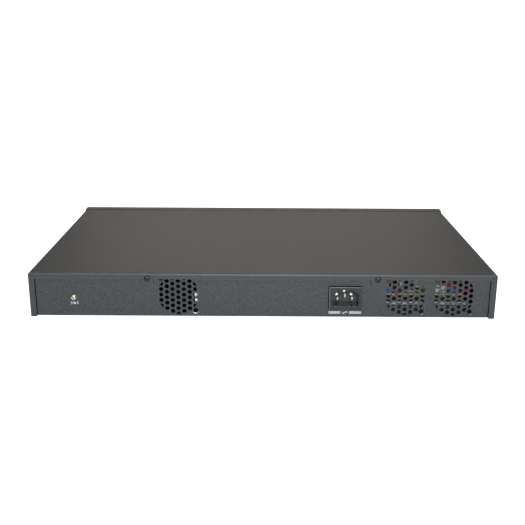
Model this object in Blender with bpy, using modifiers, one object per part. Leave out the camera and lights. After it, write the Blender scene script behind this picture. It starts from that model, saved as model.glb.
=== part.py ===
# Rackmount network switch, one rack unit high, as an assembly of separate pieces.
# Metres, +Z up. +Y runs from the rear panel to the port side, +X is to the right when the
# rear panel is looked at from behind. The origin is under the middle of the whole object.

import math

import bmesh
import bpy
from mathutils import Matrix, Vector

MM = 0.001

# ---- driving dimensions -------------------------------------------------------------------
GAP = 0.3 * MM              # clearance between pieces that touch
SHEET = 1.0 * MM            # steel sheet of the cover and the tray

BODY_WIDTH = 440.0 * MM     # over the cover's side walls
BODY_DEPTH = 270.0 * MM     # rear lip to the bezel's face
BODY_HEIGHT = 43.6 * MM     # cover, from its lower edges to its top
BEND_RADIUS = 1.6 * MM      # outside radius of the cover's folds

LIP_HEIGHT = 5.6 * MM       # rear lip of the cover, at the top
LIP_WIDTH = 5.5 * MM        # rear lips of the cover, at the sides
MITRE_SLOT = 0.5 * MM
TAB_WIDTH = 11.2 * MM
TAB_DROP = 4.6 * MM         # how far a screw tab hangs below the lip
TAB_X = (-108.5 * MM, 108.0 * MM)
TAB_SCREW_DROP = 5.2 * MM   # screw centre below the cover's top

FLOOR_LIFT = 0.9 * MM       # tray's underside above the cover's lower edges
FLANGE_TOP = 15.0 * MM      # top of the tray's side flanges
RETURN_DEPTH = 8.0 * MM     # full-height part of a flange behind the rear panel
PAD_RADIUS = 9.0 * MM       # pressed pads under the tray
PAD_INSET = (32.0 * MM, 34.0 * MM)

BEZEL_DEPTH = 15.0 * MM
BEZEL_PLATE = 2.2 * MM
BEZEL_PROUD_SIDE = 0.6 * MM
BEZEL_PROUD_TOP = 0.4 * MM
BEZEL_ROUND = 2.0 * MM

EAR_HOLE_RADIUS = 2.0 * MM  # rack ear screws, through the cover
EAR_TAP_RADIUS = 1.65 * MM
EAR_HOLE_BACK = (12.0 * MM, 36.0 * MM)   # behind the cover's front edge
EAR_HOLE_Z = (12.0 * MM, 32.0 * MM)
EAR_PLATE = 48.0 * MM
EAR_PLATE_TOP = 38.0 * MM

SLOT_COUNT = 12             # intake slots in each side wall
SLOT_WIDTH = 2.4 * MM
SLOT_HEIGHT = 14.0 * MM
SLOT_PITCH = 6.0 * MM
SLOT_START = 60.0 * MM      # behind the rear lip
SLOT_Z = 28.0 * MM

VENT_X = (-79.6 * MM, 134.7 * MM, 180.5 * MM)
VENT_Z = 22.3 * MM
VENT_RADIUS = 19.75 * MM
HEX_FLATS = 4.0 * MM        # across the flats of one vent hole
VENT_SIDES = 40             # flats that stand in for the vent's round outline
SHORTEST_EDGE = 0.1 * MM
HEX_COLUMN = 5.36 * MM
HEX_ROW = 5.45 * MM
FAN_HOLE_SPACING = 32.0 * MM
FAN_HEAD_RADIUS = 2.7 * MM
FAN_SHANK_RADIUS = 1.7 * MM

INLET_X = 78.1 * MM
INLET_Z = 20.0 * MM
INLET_FLANGE = (31.0 * MM, 22.8 * MM)
INLET_BODY = (27.4 * MM, 19.4 * MM)
INLET_MOUTH = (24.8 * MM, 16.6 * MM)
INLET_CHAMFER = 4.7 * MM
INLET_PROUD = 1.7 * MM
INLET_DEPTH = 20.0 * MM     # from the flange's face to the back
INLET_MOUTH_DEPTH = 16.5 * MM
PIN_SIZE = (2.0 * MM, 4.0 * MM)
PIN_REACH = 9.5 * MM        # free length of a live pin above the mouth's floor
PIN_SPACING = 7.0 * MM
PIN_OFFSET = 2.0 * MM

GROUND_X = -178.3 * MM
GROUND_Z = 19.7 * MM
GROUND_HEAD = (2.8 * MM, 2.3 * MM)       # radius and height
GROUND_WASHER = (3.6 * MM, 0.6 * MM)
COVER_HEAD = (2.75 * MM, 1.6 * MM)
SCREW_SHANK = 1.4 * MM
SCREW_LENGTH = 5.0 * MM
SIDE_SCREW_Z = 8.0 * MM
SIDE_SCREW_INSET = (40.0 * MM, 64.7 * MM)   # from the rear lip, and from the cover's front

FAN_SIZE = 40.0 * MM
FAN_DEPTH = 20.0 * MM
FAN_BORE = 18.9 * MM
FAN_TIP_CLEARANCE = 0.7 * MM
FAN_HUB = 10.4 * MM
FAN_STRUT = (2.2 * MM, 2.6 * MM)         # width and depth
BLADE_COUNT = 7
BLADE_CHORD = 12.0 * MM
BLADE_THICK = 0.9 * MM

BOARD_THICK = 1.6 * MM
BOARD_X = (-206.0 * MM, 92.0 * MM)
BOARD_BACK = 28.0 * MM      # rear edge, in front of the rear lip
BOARD_Z = 6.5 * MM
STANDOFF_RADIUS = 3.0 * MM
STANDOFF_INSET = 10.0 * MM

PORT_COLUMNS = 4
PORT_PITCH = 14.0 * MM
PORT_MOUTH = (11.8 * MM, 8.4 * MM)
PORT_DEPTH = 14.0 * MM
LATCH_NOTCH = (6.0 * MM, 1.8 * MM)
PORT_ROW = 12.6 * MM        # height of one row of a block
PORT_SIDE = 0.5 * MM
JACK_BLOCK_DEPTH = 26.0 * MM
JACK_RECESS = 0.4 * MM      # jack faces behind the bezel's face
BLOCK_COUNT = 3
PORTS_RIGHT = 68.5 * MM     # right side of the first block
PORT_SPACE = 3.0 * MM       # between blocks
JACK_SPACE = 6.0 * MM       # on both sides of the console jack
CONSOLE_WIDTH = 15.6 * MM
CAGE_MOUTH = (13.8 * MM, 8.8 * MM)
CAGE_WALL = 0.8 * MM
CAGE_DEPTH = 46.0 * MM
CAGE_MOUTH_DEPTH = 44.0 * MM

BUTTON_X = 84.0 * MM
BUTTON_Z = 14.0 * MM
BUTTON_RADIUS = 2.0 * MM
BUTTON_TRAVEL = 0.8 * MM
BUTTON_RECESS = 0.9 * MM
PIPE_X = 76.0 * MM
PIPE_WINDOW = (2.0 * MM, 3.0 * MM)
PIPE_PITCH = 6.5 * MM
PIPE_Z = (14.0 * MM, 20.5 * MM, 27.0 * MM)

CHIP_X, CHIP_Y = -45.0 * MM, 45.0 * MM
CHIP_SIZE = (27.0 * MM, 2.4 * MM)
SINK_SIZE = (38.0 * MM, 14.0 * MM)
SINK_BASE = 3.0 * MM
FIN_COUNT = 8
FIN_THICK = 1.4 * MM

PSU_X = (100.0 * MM, 198.0 * MM)
PSU_BACK = 36.0 * MM        # rear edge of the supply's board, in front of the rear lip
PSU_DEPTH = 132.0 * MM
PSU_Z = 10.8 * MM
PSU_STANDOFF_X = (131.0 * MM, 178.5 * MM)
PSU_STANDOFF_INSET = 4.5 * MM
INSULATOR_EDGE = 2.8 * MM
INSULATOR_THICK = 0.6 * MM
INSULATOR_MARGIN = 3.2 * MM

AC_WIRE_RADIUS = 1.2 * MM
FAN_WIRE_RADIUS = 0.7 * MM
HARNESS_RADIUS = 2.0 * MM

# ---- levels that follow from them ---------------------------------------------------------
GROUND_STACK = GAP + GROUND_WASHER[1] + GAP + GROUND_HEAD[1]
GROUND_PROUD = GROUND_STACK - SHEET - GAP          # ground screw beyond the rear lip
FRONT = (BODY_DEPTH + GROUND_PROUD) / 2
REAR = FRONT - BODY_DEPTH
PANEL_OUT = REAR + SHEET + GAP
PANEL_IN = PANEL_OUT + SHEET
SIDE = BODY_WIDTH / 2
ROOF = BODY_HEIGHT - SHEET
TRAY_SIDE = SIDE - SHEET - GAP
TRAY_TOP = ROOF - GAP
FLOOR = FLOOR_LIFT + SHEET
COVER_FRONT = FRONT - BEZEL_DEPTH - GAP
SIDE_SCREW_Y = (REAR + SIDE_SCREW_INSET[0], COVER_FRONT - SIDE_SCREW_INSET[1])
WALL_OUT = FRONT - BEZEL_PLATE - GAP               # tray's front wall
WALL_IN = WALL_OUT - SHEET
BOARD_TOP = BOARD_Z + BOARD_THICK
SEAT = BOARD_TOP + GAP                             # where parts stand on the main board
PSU_TOP = PSU_Z + BOARD_THICK
PSU_SEAT = PSU_TOP + GAP
JACK_FACE = FRONT - JACK_RECESS
BLOCK_WIDTH = PORT_COLUMNS * PORT_PITCH + 2 * PORT_SIDE
BLOCK_TOP = SEAT + 2 * PORT_ROW
BLOCK_X = [PORTS_RIGHT - BLOCK_WIDTH / 2 - index * (BLOCK_WIDTH + PORT_SPACE)
           for index in range(BLOCK_COUNT)]
CONSOLE_X = BLOCK_X[-1] - BLOCK_WIDTH / 2 - JACK_SPACE - CONSOLE_WIDTH / 2
CAGE_WIDTH = 2 * CAGE_MOUTH[0] + 3 * CAGE_WALL
CAGE_X = CONSOLE_X - CONSOLE_WIDTH / 2 - JACK_SPACE - CAGE_WIDTH / 2
CAGE_TOP = SEAT + 2 * CAGE_MOUTH[1] + 5 * CAGE_WALL
FAN_IN = PANEL_IN + GAP
FAN_OUT = FAN_IN + FAN_DEPTH
FAN_X = VENT_X[0]

UP = {
    "Z": Matrix.Identity(4),
    "+Y": Matrix.Rotation(-math.pi / 2, 4, "X"),
    "-Y": Matrix.Rotation(math.pi / 2, 4, "X"),
    "+X": Matrix.Rotation(math.pi / 2, 4, "Y"),
    "-X": Matrix.Rotation(-math.pi / 2, 4, "Y"),
}


# ---- building helpers ---------------------------------------------------------------------
def clear_scene():
    for old in list(bpy.data.objects):
        bpy.data.objects.remove(old, do_unlink=True)


def new_collection(name):
    made = bpy.data.collections.new(name)
    bpy.context.scene.collection.children.link(made)
    return made


clear_scene()
PARTS = new_collection("rackmount_network_switch")
CUTTERS = new_collection("cutters")


def finish(name, colour, roughness, metallic):
    made = bpy.data.materials.new(name)
    made.use_nodes = True
    shader = made.node_tree.nodes["Principled BSDF"]
    shader.inputs["Base Color"].default_value = (*colour, 1)
    shader.inputs["Roughness"].default_value = roughness
    shader.inputs["Metallic"].default_value = metallic
    return made


STEEL_PAINT = finish("dark_grey_powder_coat", (0.09, 0.095, 0.105), 0.5, 0.3)
BEZEL_PLASTIC = finish("charcoal_plastic", (0.05, 0.05, 0.052), 0.45, 0)
BLACK_PLASTIC = finish("black_plastic", (0.02, 0.02, 0.02), 0.4, 0)
BLACK_STEEL = finish("blackened_steel", (0.03, 0.03, 0.03), 0.35, 0.8)
NICKEL = finish("nickel_plate", (0.72, 0.68, 0.6), 0.25, 1)
BRASS = finish("brass", (0.78, 0.55, 0.18), 0.3, 1)
TIN = finish("tinned_steel", (0.62, 0.63, 0.64), 0.35, 1)
BOARD_GREEN = finish("green_board", (0.02, 0.16, 0.07), 0.5, 0)
BOARD_TAN = finish("tan_board", (0.55, 0.42, 0.2), 0.6, 0)
MILKY = finish("milky_film", (0.75, 0.77, 0.78), 0.5, 0)
WHITE_NYLON = finish("white_nylon", (0.85, 0.85, 0.82), 0.5, 0)
YELLOW = finish("yellow_case", (0.85, 0.65, 0.05), 0.45, 0)
BLUE = finish("blue_dip", (0.03, 0.2, 0.7), 0.4, 0)
CREAM = finish("cream_tape", (0.78, 0.7, 0.45), 0.5, 0)
FERRITE = finish("ferrite", (0.05, 0.05, 0.05), 0.6, 0)
SLEEVE = finish("black_sleeve", (0.03, 0.03, 0.035), 0.3, 0)
ALUMINIUM = finish("aluminium", (0.6, 0.61, 0.62), 0.4, 1)
RED_WIRE = finish("red_insulation", (0.7, 0.03, 0.03), 0.4, 0)
DARK_RED_WIRE = finish("dark_red_insulation", (0.35, 0.01, 0.02), 0.4, 0)
EARTH_WIRE = finish("yellow_green_insulation", (0.55, 0.6, 0.05), 0.4, 0)
BLACK_WIRE = finish("black_insulation", (0.02, 0.02, 0.02), 0.4, 0)
CLEAR = finish("clear_acrylic", (0.85, 0.9, 0.9), 0.1, 0)


def place_mesh(name, bm, look, home):
    mesh = bpy.data.meshes.new(name)
    bm.to_mesh(mesh)
    bm.free()
    made = bpy.data.objects.new(name, mesh)
    home.objects.link(made)
    if look:
        mesh.materials.append(look)
    if home is CUTTERS:
        made.hide_render = True
        made.display_type = "WIRE"
    return made


def add_box(bm, low, high):
    size = [b - a for a, b in zip(low, high)]
    middle = Vector([(a + b) / 2 for a, b in zip(low, high)])
    place = Matrix.Translation(middle) @ Matrix.Diagonal((*size, 1))
    bmesh.ops.create_cube(bm, size=1, matrix=place)


def add_rod(bm, base, length, radius, axis="Z", sides=24, top_radius=None):
    top = radius if top_radius is None else top_radius
    turn = Matrix.Translation(Vector(base)) @ UP[axis]
    bmesh.ops.create_cone(
        bm, cap_ends=True, segments=sides, radius1=radius, radius2=top,
        depth=length, matrix=turn @ Matrix.Translation((0, 0, length / 2)))


def add_prism(bm, outline, back, front):
    # An (x, z) outline drawn out along +Y.
    rear = [bm.verts.new((x, back, z)) for x, z in outline]
    fore = [bm.verts.new((x, front, z)) for x, z in outline]
    bm.faces.new(rear)
    bm.faces.new(fore[::-1])
    for k in range(len(outline)):
        bm.faces.new((rear[k], rear[k - 1], fore[k - 1], fore[k]))


def round_edges(bm, chosen, radius, segments=3):
    edges = [e for e in bm.edges if chosen(*[v.co for v in e.verts])]
    bmesh.ops.bevel(bm, geom=edges, offset=radius, segments=segments, profile=0.5,
                    affect="EDGES")


def box(name, low, high, look=None, home=None, rounding=0.0):
    bm = bmesh.new()
    add_box(bm, low, high)
    if rounding:
        round_edges(bm, lambda a, b: True, rounding, 2)
    return place_mesh(name, bm, look, home or PARTS)


def rod(name, base, length, radius, axis="Z", sides=24, look=None, home=None):
    bm = bmesh.new()
    add_rod(bm, base, length, radius, axis, sides)
    made = place_mesh(name, bm, look, home or PARTS)
    shade(made)
    return made


def box_cutter(name, boxes):
    bm = bmesh.new()
    for low, high in boxes:
        add_box(bm, low, high)
    return place_mesh(name, bm, None, CUTTERS)


def rod_cutter(name, rods, axis, sides=24):
    bm = bmesh.new()
    for base, length, radius in rods:
        add_rod(bm, base, length, radius, axis, sides)
    return place_mesh(name, bm, None, CUTTERS)


def boolean(piece, tool, operation="DIFFERENCE"):
    step = piece.modifiers.new(tool.name, "BOOLEAN")
    step.operation = operation
    step.object = tool
    step.solver = "EXACT"


def shade(piece):
    piece.data.shade_smooth()
    piece.data.set_sharp_from_angle(angle=math.radians(35))


def turned(name, profile, place, axis, look, steps=14):
    # The profile runs from the top of the axis down the outside to the bottom of the axis.
    bm = bmesh.new()
    points = [bm.verts.new((radius, 0, height)) for radius, height in profile]
    for upper, lower in zip(points, points[1:]):
        bm.edges.new((upper, lower))
    made = place_mesh(name, bm, look, PARTS)
    made.matrix_world = Matrix.Translation(Vector(place)) @ UP[axis]
    spin = made.modifiers.new("turn", "SCREW")
    spin.steps = spin.render_steps = steps
    spin.use_merge_vertices = True
    spin.merge_threshold = 0.00002
    return made


def smooth_route(points, spacing):
    # Catmull-Rom curve through the route's points, read at about the given spacing.
    ends = [points[0] * 2 - points[1]] + points + [points[-1] * 2 - points[-2]]
    route = []
    for a, b, c, d in zip(ends, ends[1:], ends[2:], ends[3:]):
        count = max(1, round((c - b).length / spacing))
        for step in range(count):
            t = step / count
            route.append(0.5 * (2 * b + (c - a) * t + (2 * a - 5 * b + 4 * c - d) * t * t
                                + (3 * b - a - 3 * c + d) * t ** 3))
    return route + [points[-1]]


def wire(name, points, radius, look):
    curve = bpy.data.curves.new(name, "CURVE")
    curve.dimensions = "3D"
    curve.bevel_depth = radius
    curve.bevel_resolution = 2
    curve.use_fill_caps = True
    route = smooth_route([Vector(p) for p in points], 6 * radius)
    spline = curve.splines.new("POLY")
    spline.points.add(len(route) - 1)
    for knot, point in zip(spline.points, route):
        knot.co = (*point, 1)
    curve.materials.append(look)
    made = bpy.data.objects.new(name, curve)
    PARTS.objects.link(made)
    return made


# ---- enclosure ----------------------------------------------------------------------------
def make_top_cover():
    # One folded sheet: its rear and side top edges are bends.
    bm = bmesh.new()
    add_box(bm, (-SIDE, REAR, 0), (SIDE, COVER_FRONT, BODY_HEIGHT))

    def fold(a, b):
        return min(a.z, b.z) > ROOF and min(a.y, b.y) < COVER_FRONT - SHEET
    round_edges(bm, fold, BEND_RADIUS)
    cover = place_mesh("top_cover", bm, STEEL_PAINT, PARTS)
    boolean(cover, box_cutter("cover_inside", [
        ((-SIDE + SHEET, REAR + SHEET, -SHEET), (SIDE - SHEET, COVER_FRONT + SHEET, ROOF))]))

    window_side = SIDE - LIP_WIDTH
    window_top = BODY_HEIGHT - LIP_HEIGHT
    window = box_cutter("rear_window", [((-window_side, REAR - SHEET, -SHEET),
                                         (window_side, REAR + 2 * SHEET, window_top))])
    tabs = box_cutter("tab_spaces", [
        ((x - TAB_WIDTH / 2, REAR - 2 * SHEET, window_top - TAB_DROP),
         (x + TAB_WIDTH / 2, REAR + 3 * SHEET, window_top + SHEET)) for x in TAB_X])
    boolean(window, tabs)
    boolean(cover, window)

    slots = bmesh.new()
    for side in (-1, 1):
        place = (Matrix.Translation((side * SIDE, REAR, BODY_HEIGHT))
                 @ Matrix.Rotation(side * math.pi / 4, 4, "Y"))
        size = (MITRE_SLOT, 2.4 * SHEET, 2 * (LIP_WIDTH - SHEET) * math.sqrt(2))
        bmesh.ops.create_cube(slots, size=1, matrix=place @ Matrix.Diagonal((*size, 1)))
    boolean(cover, place_mesh("mitre_slots", slots, None, CUTTERS))

    holes = rod_cutter("tab_screw_holes", [
        ((x, REAR - SHEET, BODY_HEIGHT - TAB_SCREW_DROP), 5 * SHEET, SCREW_SHANK + GAP)
        for x in TAB_X], "+Y", 16)
    boolean(cover, holes)

    intake = []
    for side in (-1, 1):
        for index in range(SLOT_COUNT):
            y = REAR + SLOT_START + index * SLOT_PITCH
            intake.append(((side * SIDE - 2 * SHEET, y - SLOT_WIDTH / 2, SLOT_Z - SLOT_HEIGHT / 2),
                           (side * SIDE + 2 * SHEET, y + SLOT_WIDTH / 2, SLOT_Z + SLOT_HEIGHT / 2)))
    boolean(cover, box_cutter("intake_slots", intake))

    wall = SIDE - 2 * SHEET
    screws = []
    for side in (-1, 1):
        low = wall if side > 0 else -wall - 3 * SHEET
        for y in SIDE_SCREW_Y:
            screws.append(((low, y, SIDE_SCREW_Z), 3 * SHEET, SCREW_SHANK + GAP))
        for back in EAR_HOLE_BACK:
            for z in EAR_HOLE_Z:
                screws.append(((low, COVER_FRONT - back, z), 3 * SHEET, EAR_HOLE_RADIUS))
    boolean(cover, rod_cutter("side_screw_holes", screws, "+X", 16))
    return holes


def hex_centres():
    # Seven columns of holes on a honeycomb, kept where the vent's circle takes them in.
    for column in range(-3, 4):
        shift = 0.5 * (column % 2 == 0)
        for row in range(-4, 4):
            x, z = column * HEX_COLUMN, (row + shift) * HEX_ROW
            if math.hypot(x, z) < VENT_RADIUS:
                yield x, z


def clipped(outline, radius):
    # The part of a convex outline inside a round opening, its shortest edges closed up.
    steps = [2 * math.pi * k / VENT_SIDES for k in range(VENT_SIDES)]
    for angle in steps:
        away = [x * math.cos(angle) + z * math.sin(angle) - radius for x, z in outline]
        kept = []
        for k, (x, z) in enumerate(outline):
            before, now = away[k - 1], away[k]
            if before * now < 0:
                last_x, last_z = outline[k - 1]
                part = before / (before - now)
                kept.append((last_x + part * (x - last_x), last_z + part * (z - last_z)))
            if now <= 0:
                kept.append((x, z))
        outline = kept
    return [point for k, point in enumerate(outline)
            if math.dist(point, outline[k - 1]) > SHORTEST_EDGE]


def make_vent_cutter(index, x):
    bm = bmesh.new()
    corner = HEX_FLATS / math.sqrt(3)
    for dx, dz in hex_centres():
        outline = [(dx + corner * math.cos(k * math.pi / 3),
                    dz + corner * math.sin(k * math.pi / 3)) for k in range(6)]
        add_prism(bm, [(x + px, VENT_Z + pz) for px, pz in clipped(outline, VENT_RADIUS)],
                  PANEL_OUT - SHEET, PANEL_IN + SHEET)
    return place_mesh(f"vent_holes_{index}", bm, None, CUTTERS)


def fan_hole_places():
    half = FAN_HOLE_SPACING / 2
    for x in VENT_X:
        yield x + half, VENT_Z - half
        yield x - half, VENT_Z + half


def front_openings(margin):
    # Rectangles (x0, z0, x1, z1) that the front wall and the bezel leave for the ports.
    for x in BLOCK_X:
        yield (x - BLOCK_WIDTH / 2 - margin, SEAT - margin,
               x + BLOCK_WIDTH / 2 + margin, BLOCK_TOP + margin)
    yield (CONSOLE_X - CONSOLE_WIDTH / 2 - margin, SEAT - margin,
           CONSOLE_X + CONSOLE_WIDTH / 2 + margin, SEAT + PORT_ROW + margin)
    yield (CAGE_X - CAGE_WIDTH / 2 - margin, SEAT - margin,
           CAGE_X + CAGE_WIDTH / 2 + margin, CAGE_TOP + margin)
    width, height = PIPE_WINDOW
    for z in PIPE_Z:
        yield (PIPE_X - width / 2 - margin, z - height / 2 - margin,
               PIPE_X + width / 2 + margin, z + height / 2 + margin)


def make_front_cutters():
    ports = box_cutter("front_port_openings", [
        ((x0, WALL_IN - SHEET, z0), (x1, FRONT + SHEET, z1))
        for x0, z0, x1, z1 in front_openings(GAP)])
    button = rod_cutter("button_hole", [
        ((BUTTON_X, WALL_IN - SHEET, BUTTON_Z), FRONT + 2 * SHEET - WALL_IN,
         BUTTON_RADIUS + GAP)], "+Y", 20)
    return ports, button


def make_base_tray(tab_holes, front_cutters):
    bm = bmesh.new()
    add_box(bm, (-TRAY_SIDE, PANEL_OUT, FLOOR_LIFT), (TRAY_SIDE, WALL_OUT, TRAY_TOP))
    tray = place_mesh("base_tray", bm, STEEL_PAINT, PARTS)
    hollow = box_cutter("tray_inside", [((-TRAY_SIDE + SHEET, PANEL_IN, FLOOR),
                                         (TRAY_SIDE - SHEET, WALL_IN, TRAY_TOP + SHEET))])
    boolean(tray, hollow)
    outside = TRAY_SIDE + SHEET
    ear_start = COVER_FRONT - EAR_PLATE
    boolean(tray, box_cutter("flange_relief", [
        ((-outside, PANEL_IN + RETURN_DEPTH, FLANGE_TOP),
         (outside, ear_start, TRAY_TOP + SHEET))]))
    boolean(tray, box_cutter("ear_plate_relief", [
        ((-outside, ear_start - SHEET, EAR_PLATE_TOP),
         (outside, WALL_IN, TRAY_TOP + 2 * SHEET))]))

    for index, x in enumerate(VENT_X):
        boolean(tray, make_vent_cutter(index + 1, x))
    sinks = bmesh.new()
    for x, z in fan_hole_places():
        outer = FAN_HEAD_RADIUS + GAP + SHEET / 2
        add_rod(sinks, (x, PANEL_OUT - SHEET / 2, z), 2 * SHEET, outer, "+Y", 20,
                top_radius=outer - 2 * (FAN_HEAD_RADIUS - FAN_SHANK_RADIUS))
    boolean(tray, place_mesh("fan_screw_sinks", sinks, None, CUTTERS))

    width, height = (size / 2 + GAP for size in INLET_BODY)
    boolean(tray, box_cutter("inlet_cutout", [
        ((INLET_X - width, PANEL_OUT - SHEET, INLET_Z - height),
         (INLET_X + width, PANEL_IN + SHEET, INLET_Z + height))]))
    boolean(tray, tab_holes)
    boolean(tray, rod_cutter("ground_hole", [
        ((GROUND_X, PANEL_OUT - SHEET, GROUND_Z), 3 * SHEET, SCREW_SHANK + GAP)], "+Y", 16))

    wall = TRAY_SIDE - 2 * SHEET
    taps = []
    for side in (-1, 1):
        low = wall if side > 0 else -wall - 3 * SHEET
        for y in SIDE_SCREW_Y:
            taps.append(((low, y, SIDE_SCREW_Z), 3 * SHEET, SCREW_SHANK + GAP))
        for back in EAR_HOLE_BACK:
            for z in EAR_HOLE_Z:
                taps.append(((low, COVER_FRONT - back, z), 3 * SHEET, EAR_TAP_RADIUS))
    boolean(tray, rod_cutter("side_taps", taps, "+X", 16))

    for cutter in front_cutters:
        boolean(tray, cutter)
    pads = [((side * (SIDE - PAD_INSET[0]), end, 0), FLOOR_LIFT + SHEET / 2, PAD_RADIUS)
            for side in (-1, 1) for end in (REAR + PAD_INSET[1], FRONT - PAD_INSET[1])]
    boolean(tray, rod_cutter("foot_pads", pads, "Z", 28), "UNION")


def make_front_bezel(front_cutters):
    outer = SIDE + BEZEL_PROUD_SIDE
    top = BODY_HEIGHT + BEZEL_PROUD_TOP
    bm = bmesh.new()
    add_box(bm, (-outer, FRONT - BEZEL_DEPTH, 0), (outer, FRONT, top))

    def face_edge(a, b):
        return min(a.y, b.y) > FRONT - 1e-6 and max(a.z, b.z) > 1e-6
    round_edges(bm, face_edge, BEZEL_ROUND)
    bezel = place_mesh("front_bezel", bm, BEZEL_PLASTIC, PARTS)
    boolean(bezel, box_cutter("bezel_inside", [
        ((-TRAY_SIDE - GAP, FRONT - BEZEL_DEPTH - SHEET, -SHEET),
         (TRAY_SIDE + GAP, FRONT - BEZEL_PLATE, ROOF))]))
    for cutter in front_cutters:
        boolean(bezel, cutter)


# ---- fasteners ----------------------------------------------------------------------------
def pan_screw(name, place, axis, head, length, look):
    # The origin is under the head, which stands out along the axis.
    radius, height = head
    profile = [(0, height), (0.5 * radius, 0.94 * height), (0.85 * radius, 0.68 * height),
               (radius, 0.3 * height), (radius, 0), (SCREW_SHANK, 0), (SCREW_SHANK, -length),
               (0, -length - SCREW_SHANK / 2)]
    turned(name, profile, place, axis, look)


def make_fasteners():
    for x, name in zip(TAB_X, ("cover_screw_left", "cover_screw_right")):
        place = (x, REAR - GAP, BODY_HEIGHT - TAB_SCREW_DROP)
        pan_screw(name, place, "-Y", COVER_HEAD, SCREW_LENGTH, BLACK_STEEL)
    for side, word in ((-1, "left"), (1, "right")):
        for index, y in enumerate(SIDE_SCREW_Y):
            place = (side * (SIDE + GAP), y, SIDE_SCREW_Z)
            pan_screw(f"side_screw_{word}_{index + 1}", place, "+X" if side > 0 else "-X",
                      (COVER_HEAD[0], BEZEL_PROUD_SIDE - GAP), SCREW_LENGTH, BLACK_STEEL)
    washer_out = PANEL_OUT - GAP - GROUND_WASHER[1]
    pan_screw("ground_screw", (GROUND_X, washer_out - GAP, GROUND_Z), "-Y", GROUND_HEAD,
              SCREW_LENGTH + GROUND_WASHER[1], NICKEL)
    washer = rod("ground_washer", (GROUND_X, washer_out, GROUND_Z), GROUND_WASHER[1],
                 GROUND_WASHER[0], "+Y", 20, NICKEL)
    boolean(washer, rod_cutter("washer_bore", [
        ((GROUND_X, washer_out - SHEET, GROUND_Z), 3 * SHEET, SCREW_SHANK + GAP)], "+Y", 16))
    drop = FAN_HEAD_RADIUS - FAN_SHANK_RADIUS
    for index, (x, z) in enumerate(list(fan_hole_places())[:2]):
        profile = [(0, 0), (FAN_HEAD_RADIUS, 0), (FAN_SHANK_RADIUS, -drop),
                   (FAN_SHANK_RADIUS, -8 * SHEET), (0, -9 * SHEET)]
        turned(f"fan_screw_{index + 1}", profile, (x, PANEL_OUT, z), "-Y", BLACK_STEEL)


# ---- mains inlet --------------------------------------------------------------------------
def make_inlet():
    face = PANEL_OUT - GAP - INLET_PROUD
    width, height = (size / 2 for size in INLET_FLANGE)
    housing = box("inlet_housing", (INLET_X - width, face, INLET_Z - height),
                  (INLET_X + width, PANEL_OUT - GAP, INLET_Z + height), BLACK_PLASTIC)
    width, height = (size / 2 for size in INLET_BODY)
    body = box_cutter("inlet_body", [((INLET_X - width, face + SHEET / 2, INLET_Z - height),
                                      (INLET_X + width, face + INLET_DEPTH, INLET_Z + height))])
    boolean(housing, body, "UNION")

    width, height = (size / 2 for size in INLET_MOUTH)
    bm = bmesh.new()
    add_box(bm, (INLET_X - width, face - SHEET, INLET_Z - height),
            (INLET_X + width, face + INLET_MOUTH_DEPTH, INLET_Z + height))

    def upper_corner(a, b):
        return min(a.z, b.z) > INLET_Z and abs(a.x - b.x) < 1e-6
    round_edges(bm, upper_corner, INLET_CHAMFER, 1)
    boolean(housing, place_mesh("inlet_mouth", bm, None, CUTTERS))

    slots = []
    back = face + INLET_DEPTH
    pins = (("live", -PIN_SPACING, -PIN_OFFSET, 0), ("neutral", PIN_SPACING, -PIN_OFFSET, 0),
            ("earth", 0, PIN_OFFSET, 1.0 * MM))
    for word, dx, dz, extra in pins:
        x, z = INLET_X + dx, INLET_Z + dz
        tip = face + INLET_MOUTH_DEPTH - PIN_REACH - extra
        w, h = (size / 2 for size in PIN_SIZE)
        box(f"inlet_pin_{word}", (x - w, tip, z - h), (x + w, back + 5 * MM, z + h), NICKEL,
            rounding=0.3 * MM)
        slots.append(((x - w - GAP, tip, z - h - GAP), (x + w + GAP, back + SHEET, z + h + GAP)))
    boolean(housing, box_cutter("inlet_pin_slots", slots))
    return back + 5 * MM


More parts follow.
